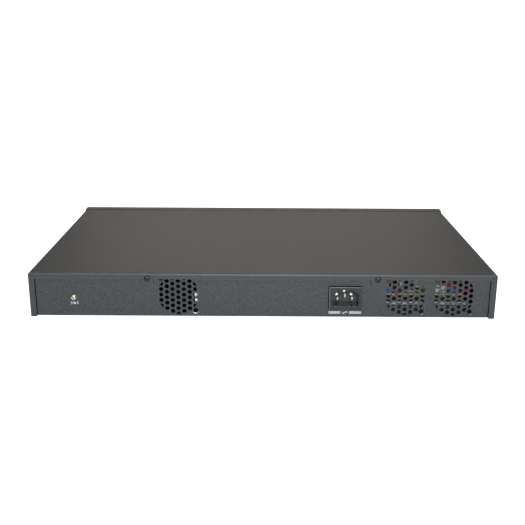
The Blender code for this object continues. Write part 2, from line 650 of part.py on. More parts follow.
# ---- fan ----------------------------------------------------------------------------------
def make_fan():
    half = FAN_SIZE / 2
    centre = (FAN_X, FAN_IN, VENT_Z)
    bm = bmesh.new()
    add_box(bm, (FAN_X - half, FAN_IN, VENT_Z - half), (FAN_X + half, FAN_OUT, VENT_Z + half))

    def corner(a, b):
        return abs(a.y - b.y) > FAN_DEPTH / 2
    round_edges(bm, corner, 3.0 * MM, 2)
    frame = place_mesh("fan_frame", bm, BLACK_PLASTIC, PARTS)
    boolean(frame, rod_cutter("fan_bore", [
        ((FAN_X, FAN_IN - SHEET, VENT_Z), FAN_DEPTH + 2 * SHEET, FAN_BORE)], "+Y", 48))
    width, depth = FAN_STRUT
    reach = FAN_BORE + SHEET / 2
    boolean(frame, rod_cutter("fan_motor_base", [(centre, depth, FAN_HUB)], "+Y", 32), "UNION")
    boolean(frame, box_cutter("fan_strut_flat", [
        ((FAN_X - reach, FAN_IN + SHEET / 4, VENT_Z - width / 2),
         (FAN_X + reach, FAN_IN + depth - SHEET / 4, VENT_Z + width / 2))]), "UNION")
    boolean(frame, box_cutter("fan_strut_upright", [
        ((FAN_X - width / 2, FAN_IN + SHEET / 2, VENT_Z - reach),
         (FAN_X + width / 2, FAN_IN + depth - SHEET / 2, VENT_Z + reach))]), "UNION")
    holes = [((FAN_X + sx * FAN_HOLE_SPACING / 2, FAN_IN - SHEET,
               VENT_Z + sz * FAN_HOLE_SPACING / 2), FAN_DEPTH + 2 * SHEET,
              FAN_SHANK_RADIUS + GAP) for sx in (-1, 1) for sz in (-1, 1)]
    boolean(frame, rod_cutter("fan_mount_holes", holes, "+Y", 12))

    start = FAN_IN + depth + 2 * GAP
    length = FAN_OUT - SHEET - start
    rotor = rod("fan_rotor", (0, 0, 0), length, FAN_HUB - GAP, "+Y", 32, BLACK_PLASTIC)
    blades = bmesh.new()
    tip = FAN_BORE - FAN_TIP_CLEARANCE
    root = FAN_HUB - 1.5 * MM
    for index in range(BLADE_COUNT):
        blade = bmesh.new()
        add_box(blade, (root, -BLADE_CHORD / 2, -BLADE_THICK / 2),
                (tip, BLADE_CHORD / 2, BLADE_THICK / 2))
        radial = [e for e in blade.edges if abs(e.verts[0].co.x - e.verts[1].co.x) > 1e-6]
        bmesh.ops.subdivide_edges(blade, edges=radial, cuts=2)
        for vert in blade.verts:
            twist = math.radians(48 - 16 * (vert.co.x - root) / (tip - root))
            vert.co = Matrix.Rotation(twist, 3, "X") @ vert.co
        turn = Matrix.Rotation(2 * math.pi * index / BLADE_COUNT, 4, "Y")
        bmesh.ops.transform(blade, verts=blade.verts,
                            matrix=turn @ Matrix.Translation((0, length / 2, 0)))
        part = bpy.data.meshes.new("blade")
        blade.to_mesh(part)
        blade.free()
        blades.from_mesh(part)
        bpy.data.meshes.remove(part)
    vanes = place_mesh("fan_blades", blades, None, CUTTERS)
    vanes.location = rotor.location = (FAN_X, start, VENT_Z)
    boolean(rotor, vanes, "UNION")


# ---- main board and its ports --------------------------------------------------------------
def make_main_board():
    back = REAR + BOARD_BACK
    front = WALL_IN - GAP
    board = box("main_board", (BOARD_X[0], back, BOARD_Z), (BOARD_X[1], front, BOARD_TOP),
                BOARD_GREEN)
    boolean(board, rod_cutter("board_corner_holes", [
        ((x, y, BOARD_Z - SHEET), BOARD_THICK + 2 * SHEET, SCREW_SHANK)
        for x, y in board_corners()], "Z", 12))
    for index, (x, y) in enumerate(board_corners()):
        rod(f"board_standoff_{index + 1}", (x, y, FLOOR + GAP), BOARD_Z - FLOOR - 2 * GAP,
            STANDOFF_RADIUS, "Z", 6, TIN)


def board_corners():
    for x in (BOARD_X[0] + STANDOFF_INSET, BOARD_X[1] - STANDOFF_INSET):
        for y in (REAR + BOARD_BACK + STANDOFF_INSET, COVER_FRONT - EAR_PLATE):
            yield x, y


def jack(name, low_x, columns, rows, width):
    top = SEAT + rows * PORT_ROW
    body = box(name, (low_x, JACK_FACE - JACK_BLOCK_DEPTH, SEAT), (low_x + width, JACK_FACE, top),
               TIN)
    mouths, notches = [], []
    side = (width - columns * PORT_PITCH) / 2
    mouth_w, mouth_h = PORT_MOUTH
    notch_w, notch_h = LATCH_NOTCH
    for column in range(columns):
        x = low_x + side + (column + 0.5) * PORT_PITCH
        for row in range(rows):
            z = SEAT + (row + 0.5) * PORT_ROW
            latch = 1 if row == 1 else -1
            mouths.append(((x - mouth_w / 2, JACK_FACE - PORT_DEPTH, z - mouth_h / 2),
                           (x + mouth_w / 2, JACK_FACE + SHEET, z + mouth_h / 2)))
            edge = sorted((z, z + latch * (mouth_h / 2 + notch_h)))
            notches.append(((x - notch_w / 2, JACK_FACE - PORT_DEPTH + SHEET, edge[0]),
                            (x + notch_w / 2, JACK_FACE + 2 * SHEET, edge[1])))
    boolean(body, box_cutter(f"{name}_mouths", mouths))
    boolean(body, box_cutter(f"{name}_notches", notches))


def make_ports():
    for index, x in enumerate(BLOCK_X):
        jack(f"port_block_{index + 1}", x - BLOCK_WIDTH / 2, PORT_COLUMNS, 2, BLOCK_WIDTH)
    jack("console_jack", CONSOLE_X - CONSOLE_WIDTH / 2, 1, 1, CONSOLE_WIDTH)

    left = CAGE_X - CAGE_WIDTH / 2
    cage = box("module_cage", (left, JACK_FACE - CAGE_DEPTH, SEAT),
               (left + CAGE_WIDTH, JACK_FACE, CAGE_TOP), TIN)
    mouths = []
    for column in range(2):
        x = left + CAGE_WALL + column * (CAGE_MOUTH[0] + CAGE_WALL)
        for row in range(2):
            z = SEAT + CAGE_WALL + row * (CAGE_MOUTH[1] + 3 * CAGE_WALL)
            mouths.append(((x, JACK_FACE - CAGE_MOUTH_DEPTH, z),
                           (x + CAGE_MOUTH[0], JACK_FACE + SHEET, z + CAGE_MOUTH[1])))
    boolean(cage, box_cutter("module_mouths", mouths))


def make_controls():
    width, height = PIPE_WINDOW
    bar_front = WALL_IN - GAP
    pipe = box("light_pipe", (PIPE_X - width / 2, bar_front - 3 * MM, SEAT),
               (PIPE_X + width / 2, bar_front, PIPE_Z[-1] + height / 2), CLEAR)
    boolean(pipe, box_cutter("light_pipe_prongs", [
        ((PIPE_X - width / 2, bar_front - SHEET, z - height / 2),
         (PIPE_X + width / 2, FRONT - JACK_RECESS, z + height / 2)) for z in PIPE_Z]), "UNION")

    face = FRONT - BUTTON_RECESS
    collar = WALL_IN - GAP
    stem = collar - 6 * MM
    profile = [(0, 0), (BUTTON_RADIUS - GAP, 0), (BUTTON_RADIUS, -GAP),
               (BUTTON_RADIUS, collar - face), (BUTTON_RADIUS + SHEET, collar - face),
               (BUTTON_RADIUS + SHEET, collar - face - SHEET), (1.2 * MM, collar - face - SHEET),
               (1.2 * MM, stem - face), (0, stem - face)]
    turned("reset_button", profile, (BUTTON_X, face, BUTTON_Z), "+Y", BLACK_PLASTIC, 20)
    back = stem - BUTTON_TRAVEL - GAP
    box("reset_switch", (BUTTON_X - 3 * MM, back - 4 * MM, SEAT),
        (BUTTON_X + 3 * MM, back, BUTTON_Z + 3 * MM), BLACK_PLASTIC)


def make_chips():
    size, height = CHIP_SIZE
    half = size / 2
    box("switch_chip", (CHIP_X - half, CHIP_Y - half, SEAT),
        (CHIP_X + half, CHIP_Y + half, SEAT + height), BLACK_PLASTIC)
    half, tall = SINK_SIZE[0] / 2, SINK_SIZE[1]
    low = SEAT + height + GAP
    sink = box("chip_heatsink", (CHIP_X - half, CHIP_Y - half, low),
               (CHIP_X + half, CHIP_Y + half, low + tall), ALUMINIUM)
    pitch = (SINK_SIZE[0] - FIN_THICK) / (FIN_COUNT - 1)
    boolean(sink, box_cutter("heatsink_slots", [
        ((CHIP_X - half + FIN_THICK + index * pitch, CHIP_Y - half - SHEET, low + SINK_BASE),
         (CHIP_X - half + (index + 1) * pitch, CHIP_Y + half + SHEET, low + tall + SHEET))
        for index in range(FIN_COUNT - 1)]))


# ---- power supply --------------------------------------------------------------------------
def standoff_places():
    back = REAR + PSU_BACK
    for x in PSU_STANDOFF_X:
        yield x, back + PSU_STANDOFF_INSET
        yield x, back + PSU_DEPTH - PSU_STANDOFF_INSET


def make_supply_base():
    back = REAR + PSU_BACK
    board = box("supply_board", (PSU_X[0], back, PSU_Z), (PSU_X[1], back + PSU_DEPTH, PSU_TOP),
                BOARD_TAN)
    boolean(board, rod_cutter("supply_board_holes", [
        ((x, y, PSU_Z - SHEET), BOARD_THICK + 2 * SHEET, SCREW_SHANK)
        for x, y in standoff_places()], "Z", 12))
    low = FLOOR + GAP
    margin = INSULATOR_MARGIN
    film = box("supply_insulator", (PSU_X[0] - margin, back - margin, low),
               (PSU_X[1] + margin, back + PSU_DEPTH + margin, low + INSULATOR_EDGE), MILKY)
    wall = margin - INSULATOR_THICK
    boolean(film, box_cutter("insulator_inside", [
        ((PSU_X[0] - wall, back - wall, low + INSULATOR_THICK),
         (PSU_X[1] + wall, back + PSU_DEPTH + wall, low + INSULATOR_EDGE + SHEET))]))
    boolean(film, rod_cutter("insulator_holes", [
        ((x, y, low - SHEET), 4 * SHEET, STANDOFF_RADIUS + GAP)
        for x, y in standoff_places()], "Z", 12))
    for index, (x, y) in enumerate(standoff_places()):
        rod(f"supply_standoff_{index + 1}", (x, y, low), PSU_Z - low - GAP, STANDOFF_RADIUS,
            "Z", 6, BRASS)


def disc_capacitor(name, x, y, radius, look):
    rod(name, (x, y, PSU_SEAT + radius), 2.4 * MM, radius, "+Y", 16, look)


def can(name, x, y, radius, height, look):
    rod(name, (x, y, PSU_SEAT), height, radius, "Z", 24, look)


def make_supply_parts():
    back = REAR + PSU_BACK
    left = PSU_X[0]
    box("line_filter_capacitor", (left + 8 * MM, back + 4 * MM, PSU_SEAT),
        (left + 25 * MM, back + 17 * MM, PSU_SEAT + 15 * MM), YELLOW, rounding=0.8 * MM)
    disc_capacitor("safety_capacitor_1", left + 23.5 * MM, back + 1.2 * MM, 3.2 * MM, BLUE)
    disc_capacitor("safety_capacitor_2", left + 87.5 * MM, back + 6 * MM, 3.6 * MM, BLUE)
    disc_capacitor("safety_capacitor_3", left + 94.0 * MM, back + 9 * MM, 3.4 * MM, BLUE)
    can("line_capacitor", left + 39 * MM, back + 14 * MM, 5.0 * MM, 13.5 * MM, SLEEVE)
    can("bulk_capacitor", left + 46 * MM, back + 78 * MM, 11.0 * MM, 26.0 * MM, SLEEVE)
    box("spare_fan_header", (left + 71.5 * MM, back + 3 * MM, PSU_SEAT),
        (left + 81 * MM, back + 10 * MM, PSU_SEAT + 7.6 * MM), WHITE_NYLON)

    low, high = (left + 51 * MM, back + 10 * MM, PSU_SEAT + 1.5 * MM), \
                (left + 65 * MM, back + 32 * MM, PSU_SEAT + 12 * MM)
    box("transformer_winding", low, high, CREAM, rounding=1.5 * MM)
    core = box("transformer_core", (low[0] - 3.5 * MM, low[1] + 5 * MM, PSU_SEAT),
               (high[0] + 3.5 * MM, high[1] - 5 * MM, PSU_SEAT + 15 * MM), FERRITE)
    boolean(core, box_cutter("winding_space", [
        ((low[0] - GAP, low[1], low[2] - GAP), (high[0] + GAP, high[1], high[2] + GAP))]))

    box("supply_heatsink", (left + 14 * MM, back + 46 * MM, PSU_SEAT),
        (left + 17 * MM, back + 112 * MM, PSU_SEAT + 22 * MM), ALUMINIUM)
    box("mains_terminal", (left + 80 * MM, back + 96 * MM, PSU_SEAT),
        (left + 92 * MM, back + 108 * MM, PSU_SEAT + 9 * MM), WHITE_NYLON)


def make_wiring(pin_back):
    back = REAR + PSU_BACK
    right = PSU_X[1]
    start = pin_back + GAP
    terminal_y = back + 102 * MM
    level = PSU_SEAT + 5 * MM
    live = [(INLET_X - PIN_SPACING, start, INLET_Z - PIN_OFFSET),
            (INLET_X - PIN_SPACING, start + 3 * MM, INLET_Z - PIN_OFFSET),
            (INLET_X - PIN_SPACING + 1 * MM, start + 6 * MM, INLET_Z + 3 * MM),
            (INLET_X + 14 * MM, start + 5 * MM, 29.0 * MM),
            (PSU_X[0] + 20 * MM, back - 4.5 * MM, 30.0 * MM),
            (PSU_X[0] + 47 * MM, back - 4 * MM, 29 * MM),
            (PSU_X[0] + 71 * MM, back - 4 * MM, 26.4 * MM),
            (PSU_X[0] + 83 * MM, back - 4 * MM, 22.6 * MM),
            (right + 3 * MM, back + 4 * MM, 16.0 * MM),
            (right + 7.5 * MM, back + 16 * MM, 12.5 * MM),
            (right + 7.5 * MM, back + 44 * MM, 13.0 * MM),
            (right + 7.5 * MM, terminal_y - 22 * MM, level - 1 * MM),
            (right + 1 * MM, terminal_y - 4 * MM, level),
            (PSU_X[0] + 92 * MM + GAP, terminal_y - 3 * MM, level)]
    wire("mains_wire_live", live, AC_WIRE_RADIUS, RED_WIRE)
    neutral = [(INLET_X + PIN_SPACING, start, INLET_Z - PIN_OFFSET),
               (INLET_X + PIN_SPACING, start + 3 * MM, INLET_Z - PIN_OFFSET),
               (PSU_X[0] + 3 * MM, back - 2 * MM, 23 * MM),
               (PSU_X[0] + 27 * MM, back + 1 * MM, 33 * MM),
               (PSU_X[0] + 47 * MM, back + 6 * MM, 33 * MM),
               (PSU_X[0] + 70 * MM, back + 8 * MM, 29 * MM),
               (PSU_X[0] + 86 * MM, back + 12.5 * MM, 23.5 * MM),
               (right + 4 * MM, back + 17 * MM, 19.0 * MM),
               (right + 12 * MM, back + 30 * MM, 17.0 * MM),
               (right + 12 * MM, terminal_y - 16 * MM, level),
               (right + 5 * MM, terminal_y + 2 * MM, level),
               (PSU_X[0] + 92 * MM + GAP, terminal_y + 3 * MM, level)]
    wire("mains_wire_neutral", neutral, AC_WIRE_RADIUS, DARK_RED_WIRE)
    earth = [(INLET_X, start, INLET_Z + PIN_OFFSET),
             (INLET_X, start + 3 * MM, INLET_Z + PIN_OFFSET),
             (INLET_X - 10 * MM, start + 8 * MM, 14 * MM),
             (INLET_X - 24 * MM, start - 4 * MM, 5 * MM),
             (INLET_X - 30 * MM, start - 10 * MM, FLOOR + GAP + AC_WIRE_RADIUS)]
    wire("earth_wire", earth, AC_WIRE_RADIUS, EARTH_WIRE)
    board_edge = BOARD_X[1] - 8 * MM
    harness = [(PSU_X[0] + 30 * MM, back + 124 * MM, PSU_SEAT + HARNESS_RADIUS),
               (PSU_X[0] + 18 * MM, back + 125 * MM, PSU_SEAT + 6 * MM),
               (PSU_X[0] + 4 * MM, back + 120 * MM, PSU_SEAT + 10 * MM),
               (board_edge - 6 * MM, back + 112 * MM, PSU_SEAT + 3 * MM),
               (board_edge - 12 * MM, back + 108 * MM, SEAT + HARNESS_RADIUS)]
    wire("supply_harness", harness, HARNESS_RADIUS, DARK_RED_WIRE)


def make_fan_wiring():
    plug_x, plug_y = FAN_X + 14 * MM, REAR + BOARD_BACK + 4 * MM
    top = SEAT + 6.5 * MM
    box("fan_plug", (plug_x - 4 * MM, plug_y, SEAT), (plug_x + 4 * MM, plug_y + 6 * MM, top),
        WHITE_NYLON)
    for index, (word, look) in enumerate((("red", RED_WIRE), ("black", BLACK_WIRE))):
        x = plug_x + (index * 2.6 - 1.3) * MM
        level = top + GAP
        exit_x = FAN_X + FAN_SIZE / 2 - 2 * MM + index * 2 * MM
        wire(f"fan_wire_{word}", [
            (x, plug_y + 3 * MM, level), (x, plug_y + 3 * MM, level + 3 * MM),
            (x + 3 * MM, plug_y + 1 * MM, level + 6 * MM),
            (exit_x, FAN_OUT + 3 * MM, level + 7 * MM),
            (exit_x - 0.5 * MM, FAN_OUT + GAP, level + 6 * MM)], FAN_WIRE_RADIUS, look)


tab_holes = make_top_cover()
front_cutters = make_front_cutters()
make_base_tray(tab_holes, front_cutters)
make_front_bezel(front_cutters)
make_fasteners()
pin_back = make_inlet()
make_fan()
make_main_board()
make_ports()
make_controls()
make_chips()
make_supply_base()
make_supply_parts()
make_wiring(pin_back)
make_fan_wiring()
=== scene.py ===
import math

import bmesh
import bpy
from mathutils import Matrix, Vector


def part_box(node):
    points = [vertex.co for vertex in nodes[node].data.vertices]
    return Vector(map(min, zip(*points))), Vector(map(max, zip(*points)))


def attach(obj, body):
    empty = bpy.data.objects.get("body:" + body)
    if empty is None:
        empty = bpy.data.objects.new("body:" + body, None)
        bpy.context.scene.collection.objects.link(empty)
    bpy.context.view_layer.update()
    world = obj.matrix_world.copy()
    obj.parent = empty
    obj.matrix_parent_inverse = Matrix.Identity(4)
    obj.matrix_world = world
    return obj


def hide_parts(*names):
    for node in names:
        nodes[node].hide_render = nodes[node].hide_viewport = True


mm = 0.001

for name in ("Cube", "Light", "Camera"):  # left by an ordinary start
    if name in bpy.data.objects:
        bpy.data.objects.remove(bpy.data.objects[name])

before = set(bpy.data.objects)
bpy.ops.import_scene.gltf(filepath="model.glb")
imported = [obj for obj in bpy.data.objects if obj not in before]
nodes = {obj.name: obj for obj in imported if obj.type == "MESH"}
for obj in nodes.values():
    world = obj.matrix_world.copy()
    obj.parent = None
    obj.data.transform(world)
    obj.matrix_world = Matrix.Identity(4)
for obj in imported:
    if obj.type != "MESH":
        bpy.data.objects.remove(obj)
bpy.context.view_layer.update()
scene = bpy.context.scene
print("frame loaded:", len(nodes), "nodes")

faceOut, faceIn = Vector((0, -1, 0)), Vector((0, 1, 0))
panelY = -132.6 * mm  # outer face of the rear panel
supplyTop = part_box("supply_board")[1].z


# node helpers

def newGroup(name, inputs, outputs):
    group = bpy.data.node_groups.new(name, "ShaderNodeTree")
    for label, kind, value in inputs:
        socket = group.interface.new_socket(name=label, in_out="INPUT", socket_type="NodeSocket" + kind)
        socket.default_value = value
    for label, kind in outputs:
        group.interface.new_socket(name=label, in_out="OUTPUT", socket_type="NodeSocket" + kind)
    start = group.nodes.new("NodeGroupInput")
    end = group.nodes.new("NodeGroupOutput")
    start.location, end.location = (-900, 0), (700, 0)
    return group, start.outputs, end.inputs


def feed(tree, sockets, values):
    for key, value in values.items():
        if isinstance(value, bpy.types.NodeSocket):
            tree.links.new(value, sockets[key])
        else:
            sockets[key].default_value = value


def put(tree, kind, spot, inputs=None, **options):
    made = tree.nodes.new("ShaderNode" + kind)
    made.location = spot
    for key, value in options.items():
        setattr(made, key, value)
    feed(tree, made.inputs, inputs or {})
    return made


def mixColor(tree, spot, factor, first, second):
    return put(tree, "Mix", spot, {0: factor, 6: first, 7: second}, data_type="RGBA").outputs[2]


def shaded(tree, spot, color, factor):
    return put(tree, "VectorMath", spot, {0: color, 1: factor}, operation="MULTIPLY").outputs[0]


def math2(tree, spot, operation, first, second=0.5, clamp=False):
    return put(tree, "Math", spot, {0: first, 1: second}, operation=operation, use_clamp=clamp).outputs[0]


def ranged(tree, spot, value, low, high, toLow=0.0, toHigh=1.0):
    return put(tree, "MapRange", spot, {
        "Value": value, "From Min": low, "From Max": high, "To Min": toLow, "To Max": toHigh}).outputs[0]


def swung(tree, spot, value, amount):
    # a 0 to 1 pattern as a multiplier round 1
    centred = math2(tree, (spot[0] - 400, spot[1]), "SUBTRACT", value, 0.5)
    swing = math2(tree, (spot[0] - 200, spot[1]), "MULTIPLY", centred, amount)
    return math2(tree, spot, "ADD", swing, 1.0)


# shared effects

def makePowderTexture():
    group, given, result = newGroup("powderTexture", [
        ("Scale", "Float", 900.0), ("Orange Peel", "Float", 0.5), ("Contrast", "Float", 0.1)],
        [("Height", "Float"), ("Tone", "Float")])
    place = put(group, "TexCoord", (-900, -250)).outputs["Object"]
    fine = put(group, "TexNoise", (-600, 150), {
        "Vector": place, "Scale": given["Scale"], "Detail": 3.0, "Roughness": 0.65}).outputs[0]
    wide = math2(group, (-780, -60), "MULTIPLY", given["Scale"], 0.3)
    peel = put(group, "TexVoronoi", (-600, -120), {"Vector": place, "Scale": wide, "Smoothness": 0.8},
               feature="SMOOTH_F1").outputs["Distance"]
    peel = math2(group, (-350, -120), "MULTIPLY", peel, given["Orange Peel"])
    feed(group, result, {"Height": math2(group, (-100, 60), "ADD", fine, peel),
                         "Tone": swung(group, (120, 250), fine, given["Contrast"])})
    return group


# edges lightened towards a paler colour: wear on most parts, and a painted highlight along the cover's folds
def makeEdgeWear():
    group, given, result = newGroup("edgeWearAndSheen", [
        ("Radius", "Float", 0.0004), ("Breakup Scale", "Float", 300.0), ("Strength", "Float", 0.5)],
        [("Edge", "Float")])
    rounded = put(group, "Bevel", (-700, 150), {"Radius": given["Radius"]}, samples=4)
    facing = put(group, "NewGeometry", (-700, -50)).outputs["Normal"]
    same = put(group, "VectorMath", (-480, 100), {0: rounded.outputs[0], 1: facing},
               operation="DOT_PRODUCT").outputs["Value"]
    edge = ranged(group, (-280, 100), same, 0.995, 0.8)
    place = put(group, "TexCoord", (-900, -300)).outputs["Object"]
    patch = put(group, "TexNoise", (-480, -200), {
        "Vector": place, "Scale": given["Breakup Scale"], "Detail": 4.0, "Roughness": 0.7}).outputs[0]
    broken = ranged(group, (-280, -200), patch, 0.35, 0.7)
    edge = math2(group, (-60, 0), "MULTIPLY", edge, broken)
    feed(group, result, {"Edge": math2(group, (140, 0), "MULTIPLY", edge, given["Strength"], clamp=True)})
    return group


def makeDustFilm():
    group, given, result = newGroup("dustFilm", [
        ("Amount", "Float", 0.1), ("Patch Scale", "Float", 25.0)], [("Dust", "Float")])
    up = put(group, "SeparateXYZ", (-620, 120), {
        0: put(group, "NewGeometry", (-800, 120)).outputs["Normal"]}).outputs["Z"]
    lying = ranged(group, (-420, 120), up, 0.4, 1.0)
    place = put(group, "TexCoord", (-1000, -200)).outputs["Object"]
    patch = put(group, "TexNoise", (-620, -140), {
        "Vector": place, "Scale": given["Patch Scale"], "Detail": 6.0, "Roughness": 0.6}).outputs[0]
    speck = put(group, "TexVoronoi", (-620, -380), {"Vector": place, "Scale": 420.0}).outputs["Distance"]
    spots = ranged(group, (-420, -380), speck, 0.16, 0.08)
    patch = ranged(group, (-420, -140), patch, 0.3, 0.75)
    both = math2(group, (-220, -200), "MAXIMUM", patch, spots)
    dust = math2(group, (-40, 0), "MULTIPLY", lying, both)
    feed(group, result, {"Dust": math2(group, (160, 0), "MULTIPLY", dust, given["Amount"], clamp=True)})
    return group


def makeMouldGrain():
    group, given, result = newGroup("mouldGrain", [
        ("Scale", "Float", 1500.0), ("Flow", "Float", 0.4), ("Contrast", "Float", 0.08)],
        [("Height", "Float"), ("Tone", "Float")])
    place = put(group, "TexCoord", (-900, 0)).outputs["Object"]
    pits = put(group, "TexVoronoi", (-600, 120), {"Vector": place, "Scale": given["Scale"]},
               feature="SMOOTH_F1").outputs["Distance"]
    slow = put(group, "TexNoise", (-600, -150), {
        "Vector": place, "Scale": 60.0, "Detail": 3.0, "Distortion": 1.2}).outputs[0]
    flow = math2(group, (-380, -150), "MULTIPLY", slow, given["Flow"])
    feed(group, result, {"Height": math2(group, (-150, 60), "ADD", pits, flow),
                         "Tone": swung(group, (60, -300), slow, given["Contrast"])})
    return group


def makeBrushedGrain():
    group, given, result = newGroup("brushedGrain", [
        ("Stretch", "Vector", (1.0, 1.0, 0.05)), ("Scale", "Float", 2500.0), ("Contrast", "Float", 0.15)],
        [("Height", "Float"), ("Tone", "Float")])
    place = put(group, "TexCoord", (-1000, 0)).outputs["Object"]
    pulled = shaded(group, (-780, 0), place, given["Stretch"])
    lines = put(group, "TexNoise", (-560, 0), {
        "Vector": pulled, "Scale": given["Scale"], "Detail": 2.0, "Roughness": 0.7}).outputs[0]
    feed(group, result, {"Height": lines, "Tone": swung(group, (160, -150), lines, given["Contrast"])})
    return group


def makeLaminateWeave():
    group, given, result = newGroup("laminateWeave", [
        ("Thread", "Float", 900.0), ("Tracks", "Float", 220.0)], [("Weave", "Float"), ("Track", "Float")])
    place = put(group, "TexCoord", (-1000, 0)).outputs["Object"]
    across = put(group, "TexWave", (-700, 200), {"Vector": place, "Scale": given["Thread"]},
                 bands_direction="X").outputs["Fac"]
    along = put(group, "TexWave", (-700, -60), {"Vector": place, "Scale": given["Thread"]},
                bands_direction="Y").outputs["Fac"]
    cells = put(group, "TexBrick", (-700, -320), {
        "Vector": place, "Scale": given["Tracks"], "Mortar Size": 0.035, "Color1": (0, 0, 0, 1),
        "Color2": (0, 0, 0, 1), "Mortar": (1, 1, 1, 1)}).outputs["Color"]
    feed(group, result, {"Weave": math2(group, (-450, 80), "MULTIPLY", across, along), "Track": cells})
    return group


def makeTapeLayers():
    group, given, result = newGroup("tapeLayers", [
        ("Width", "Float", 120.0), ("Wander", "Float", 2.0)], [("Height", "Float"), ("Shade", "Float")])
    place = put(group, "TexCoord", (-900, 0)).outputs["Object"]
    bands = put(group, "TexWave", (-600, 100), {
        "Vector": place, "Scale": given["Width"], "Distortion": given["Wander"], "Detail": 2.0},
        bands_direction="Z", wave_profile="SAW").outputs["Fac"]
    feed(group, result, {"Height": bands, "Shade": ranged(group, (-300, -100), bands, 0.0, 1.0, 0.82, 1.06)})
    return group


def makeMottle():
    group, given, result = newGroup("mottle", [
        ("Color", "Color", (0.5, 0.5, 0.5, 1)), ("Scale", "Float", 30.0), ("Swing", "Float", 0.08),
        ("Roughness", "Float", 0.5), ("Roughness Swing", "Float", 0.1)],
        [("Color", "Color"), ("Roughness", "Float")])
    place = put(group, "TexCoord", (-1000, 0)).outputs["Object"]
    cloud = put(group, "TexNoise", (-760, 0), {
        "Vector": place, "Scale": given["Scale"], "Detail": 5.0, "Roughness": 0.55}).outputs[0]
    tone = swung(group, (-180, 120), cloud, given["Swing"])
    centred = math2(group, (-560, -160), "SUBTRACT", cloud, 0.5)
    change = math2(group, (-360, -160), "MULTIPLY", centred, given["Roughness Swing"])
    feed(group, result, {
        "Color": shaded(group, (20, 120), given["Color"], tone),
        "Roughness": math2(group, (-180, -160), "ADD", change, given["Roughness"], clamp=True)})
    return group


powderTexture = makePowderTexture()
edgeWearAndSheen = makeEdgeWear()
dustFilm = makeDustFilm()
mouldGrain = makeMouldGrain()
brushedGrain = makeBrushedGrain()
laminateWeave = makeLaminateWeave()
tapeLayers = makeTapeLayers()
mottle = makeMottle()
print("shared effects ready")


dustColor = (0.42, 0.41, 0.39, 1)


def useGroup(tree, group, spot, values):
    made = tree.nodes.new("ShaderNodeGroup")
    made.node_tree = group
    made.location = spot
    made.label = group.name
    feed(tree, made.inputs, values)
    return made.outputs


def newMaterial(name):
    material = bpy.data.materials.new(name)
    material.use_nodes = True
    tree = material.node_tree
    shader = tree.nodes["Principled BSDF"]
    shader.location = (700, 0)
    tree.nodes["Material Output"].location = (1000, 0)
    return material, tree, shader


def addBump(tree, shader, height, strength, distance):
    bump = put(tree, "Bump", (480, -350), {"Strength": strength, "Distance": distance, "Height": height})
    feed(tree, shader.inputs, {"Normal": bump.outputs[0]})


def baseCoat(tree, look, cloud, swing, roughnessSwing):
    return useGroup(tree, mottle, (-700, 200), {
        "Color": (*look["color"], 1), "Scale": cloud, "Swing": swing, "Roughness": look["roughness"],
        "Roughness Swing": roughnessSwing})


def wearOff(tree, color, wornAndSheenColor, radius, breakup, strength):
    worn = useGroup(tree, edgeWearAndSheen, (-420, -120), {
        "Radius": radius, "Breakup Scale": breakup, "Strength": strength})["Edge"]
    return mixColor(tree, (-150, 150), worn, color, (*wornAndSheenColor, 1))


def paler(color, gain, lift):
    return [min(1, c * gain + lift) for c in color]


def paintMaterial(name, look):
    material, tree, shader = newMaterial(name)
    base = baseCoat(tree, look, look["cloud"], look["swing"], look["roughnessSwing"])
    powder = useGroup(tree, powderTexture, (-700, -150), {
        "Scale": look["grain"], "Orange Peel": look["peel"], "Contrast": look["contrast"]})
    color = shaded(tree, (-420, 150), base["Color"], powder["Tone"])
    color = wearOff(tree, color, look["wornAndSheenColor"], look["edge"], 260.0, look["wearAndSheen"])
    dust = useGroup(tree, dustFilm, (-420, -320), {"Amount": look["dust"], "Patch Scale": 22.0})["Dust"]
    matt = math2(tree, (-150, -80), "MULTIPLY", dust, 0.5)
    feed(tree, shader.inputs, {
        "Base Color": mixColor(tree, (80, 150), dust, color, dustColor),
        "Roughness": math2(tree, (80, -80), "ADD", base["Roughness"], matt),
        "Specular IOR Level": look["specular"], "Coat Weight": look["coat"],
        "Coat Roughness": look["coatRoughness"]})
    addBump(tree, shader, powder["Height"], look["bump"], 0.05 * mm)
    return material


def plasticMaterial(name, look):
    material, tree, shader = newMaterial(name)
    base = baseCoat(tree, look, 45.0, look.get("swing", 0.1), 0.15)
    grain = useGroup(tree, mouldGrain, (-700, -150), {
        "Scale": 1800.0, "Flow": 0.5, "Contrast": look.get("contrast", 0.12)})
    color = shaded(tree, (-420, 150), base["Color"], grain["Tone"])
    color = wearOff(tree, color, paler(look["color"], 1.5, 0.05), 0.25 * mm, 500.0, look.get("wearAndSheen", 0.35))
    dust = useGroup(tree, dustFilm, (-420, -320), {
        "Amount": look.get("dust", 0.12), "Patch Scale": 60.0})["Dust"]
    feed(tree, shader.inputs, {
        "Base Color": mixColor(tree, (80, 150), dust, color, dustColor), "Roughness": base["Roughness"],
        "Specular IOR Level": look.get("specular", 0.5), "Coat Weight": look.get("coat", 0.0),
        "Coat Roughness": 0.12})
    addBump(tree, shader, grain["Height"], look.get("bump", 0.12), 0.04 * mm)
    return material


def metalMaterial(name, look):
    material, tree, shader = newMaterial(name)
    base = baseCoat(tree, look, 90.0, look.get("swing", 0.2), 0.25)
    grain = useGroup(tree, brushedGrain, (-700, -150), {
        "Stretch": look.get("stretch", (1.0, 1.0, 0.06)), "Scale": 2600.0,
        "Contrast": look.get("contrast", 0.2)})
    color = shaded(tree, (-420, 150), base["Color"], grain["Tone"])
    color = wearOff(tree, color, paler(look["color"], 1.25, 0.08), 0.2 * mm, 600.0, look.get("wearAndSheen", 0.4))
    feed(tree, shader.inputs, {
        "Base Color": color, "Roughness": base["Roughness"], "Metallic": look.get("metallic", 1.0)})
    addBump(tree, shader, grain["Height"], 0.15, 0.02 * mm)
    return material


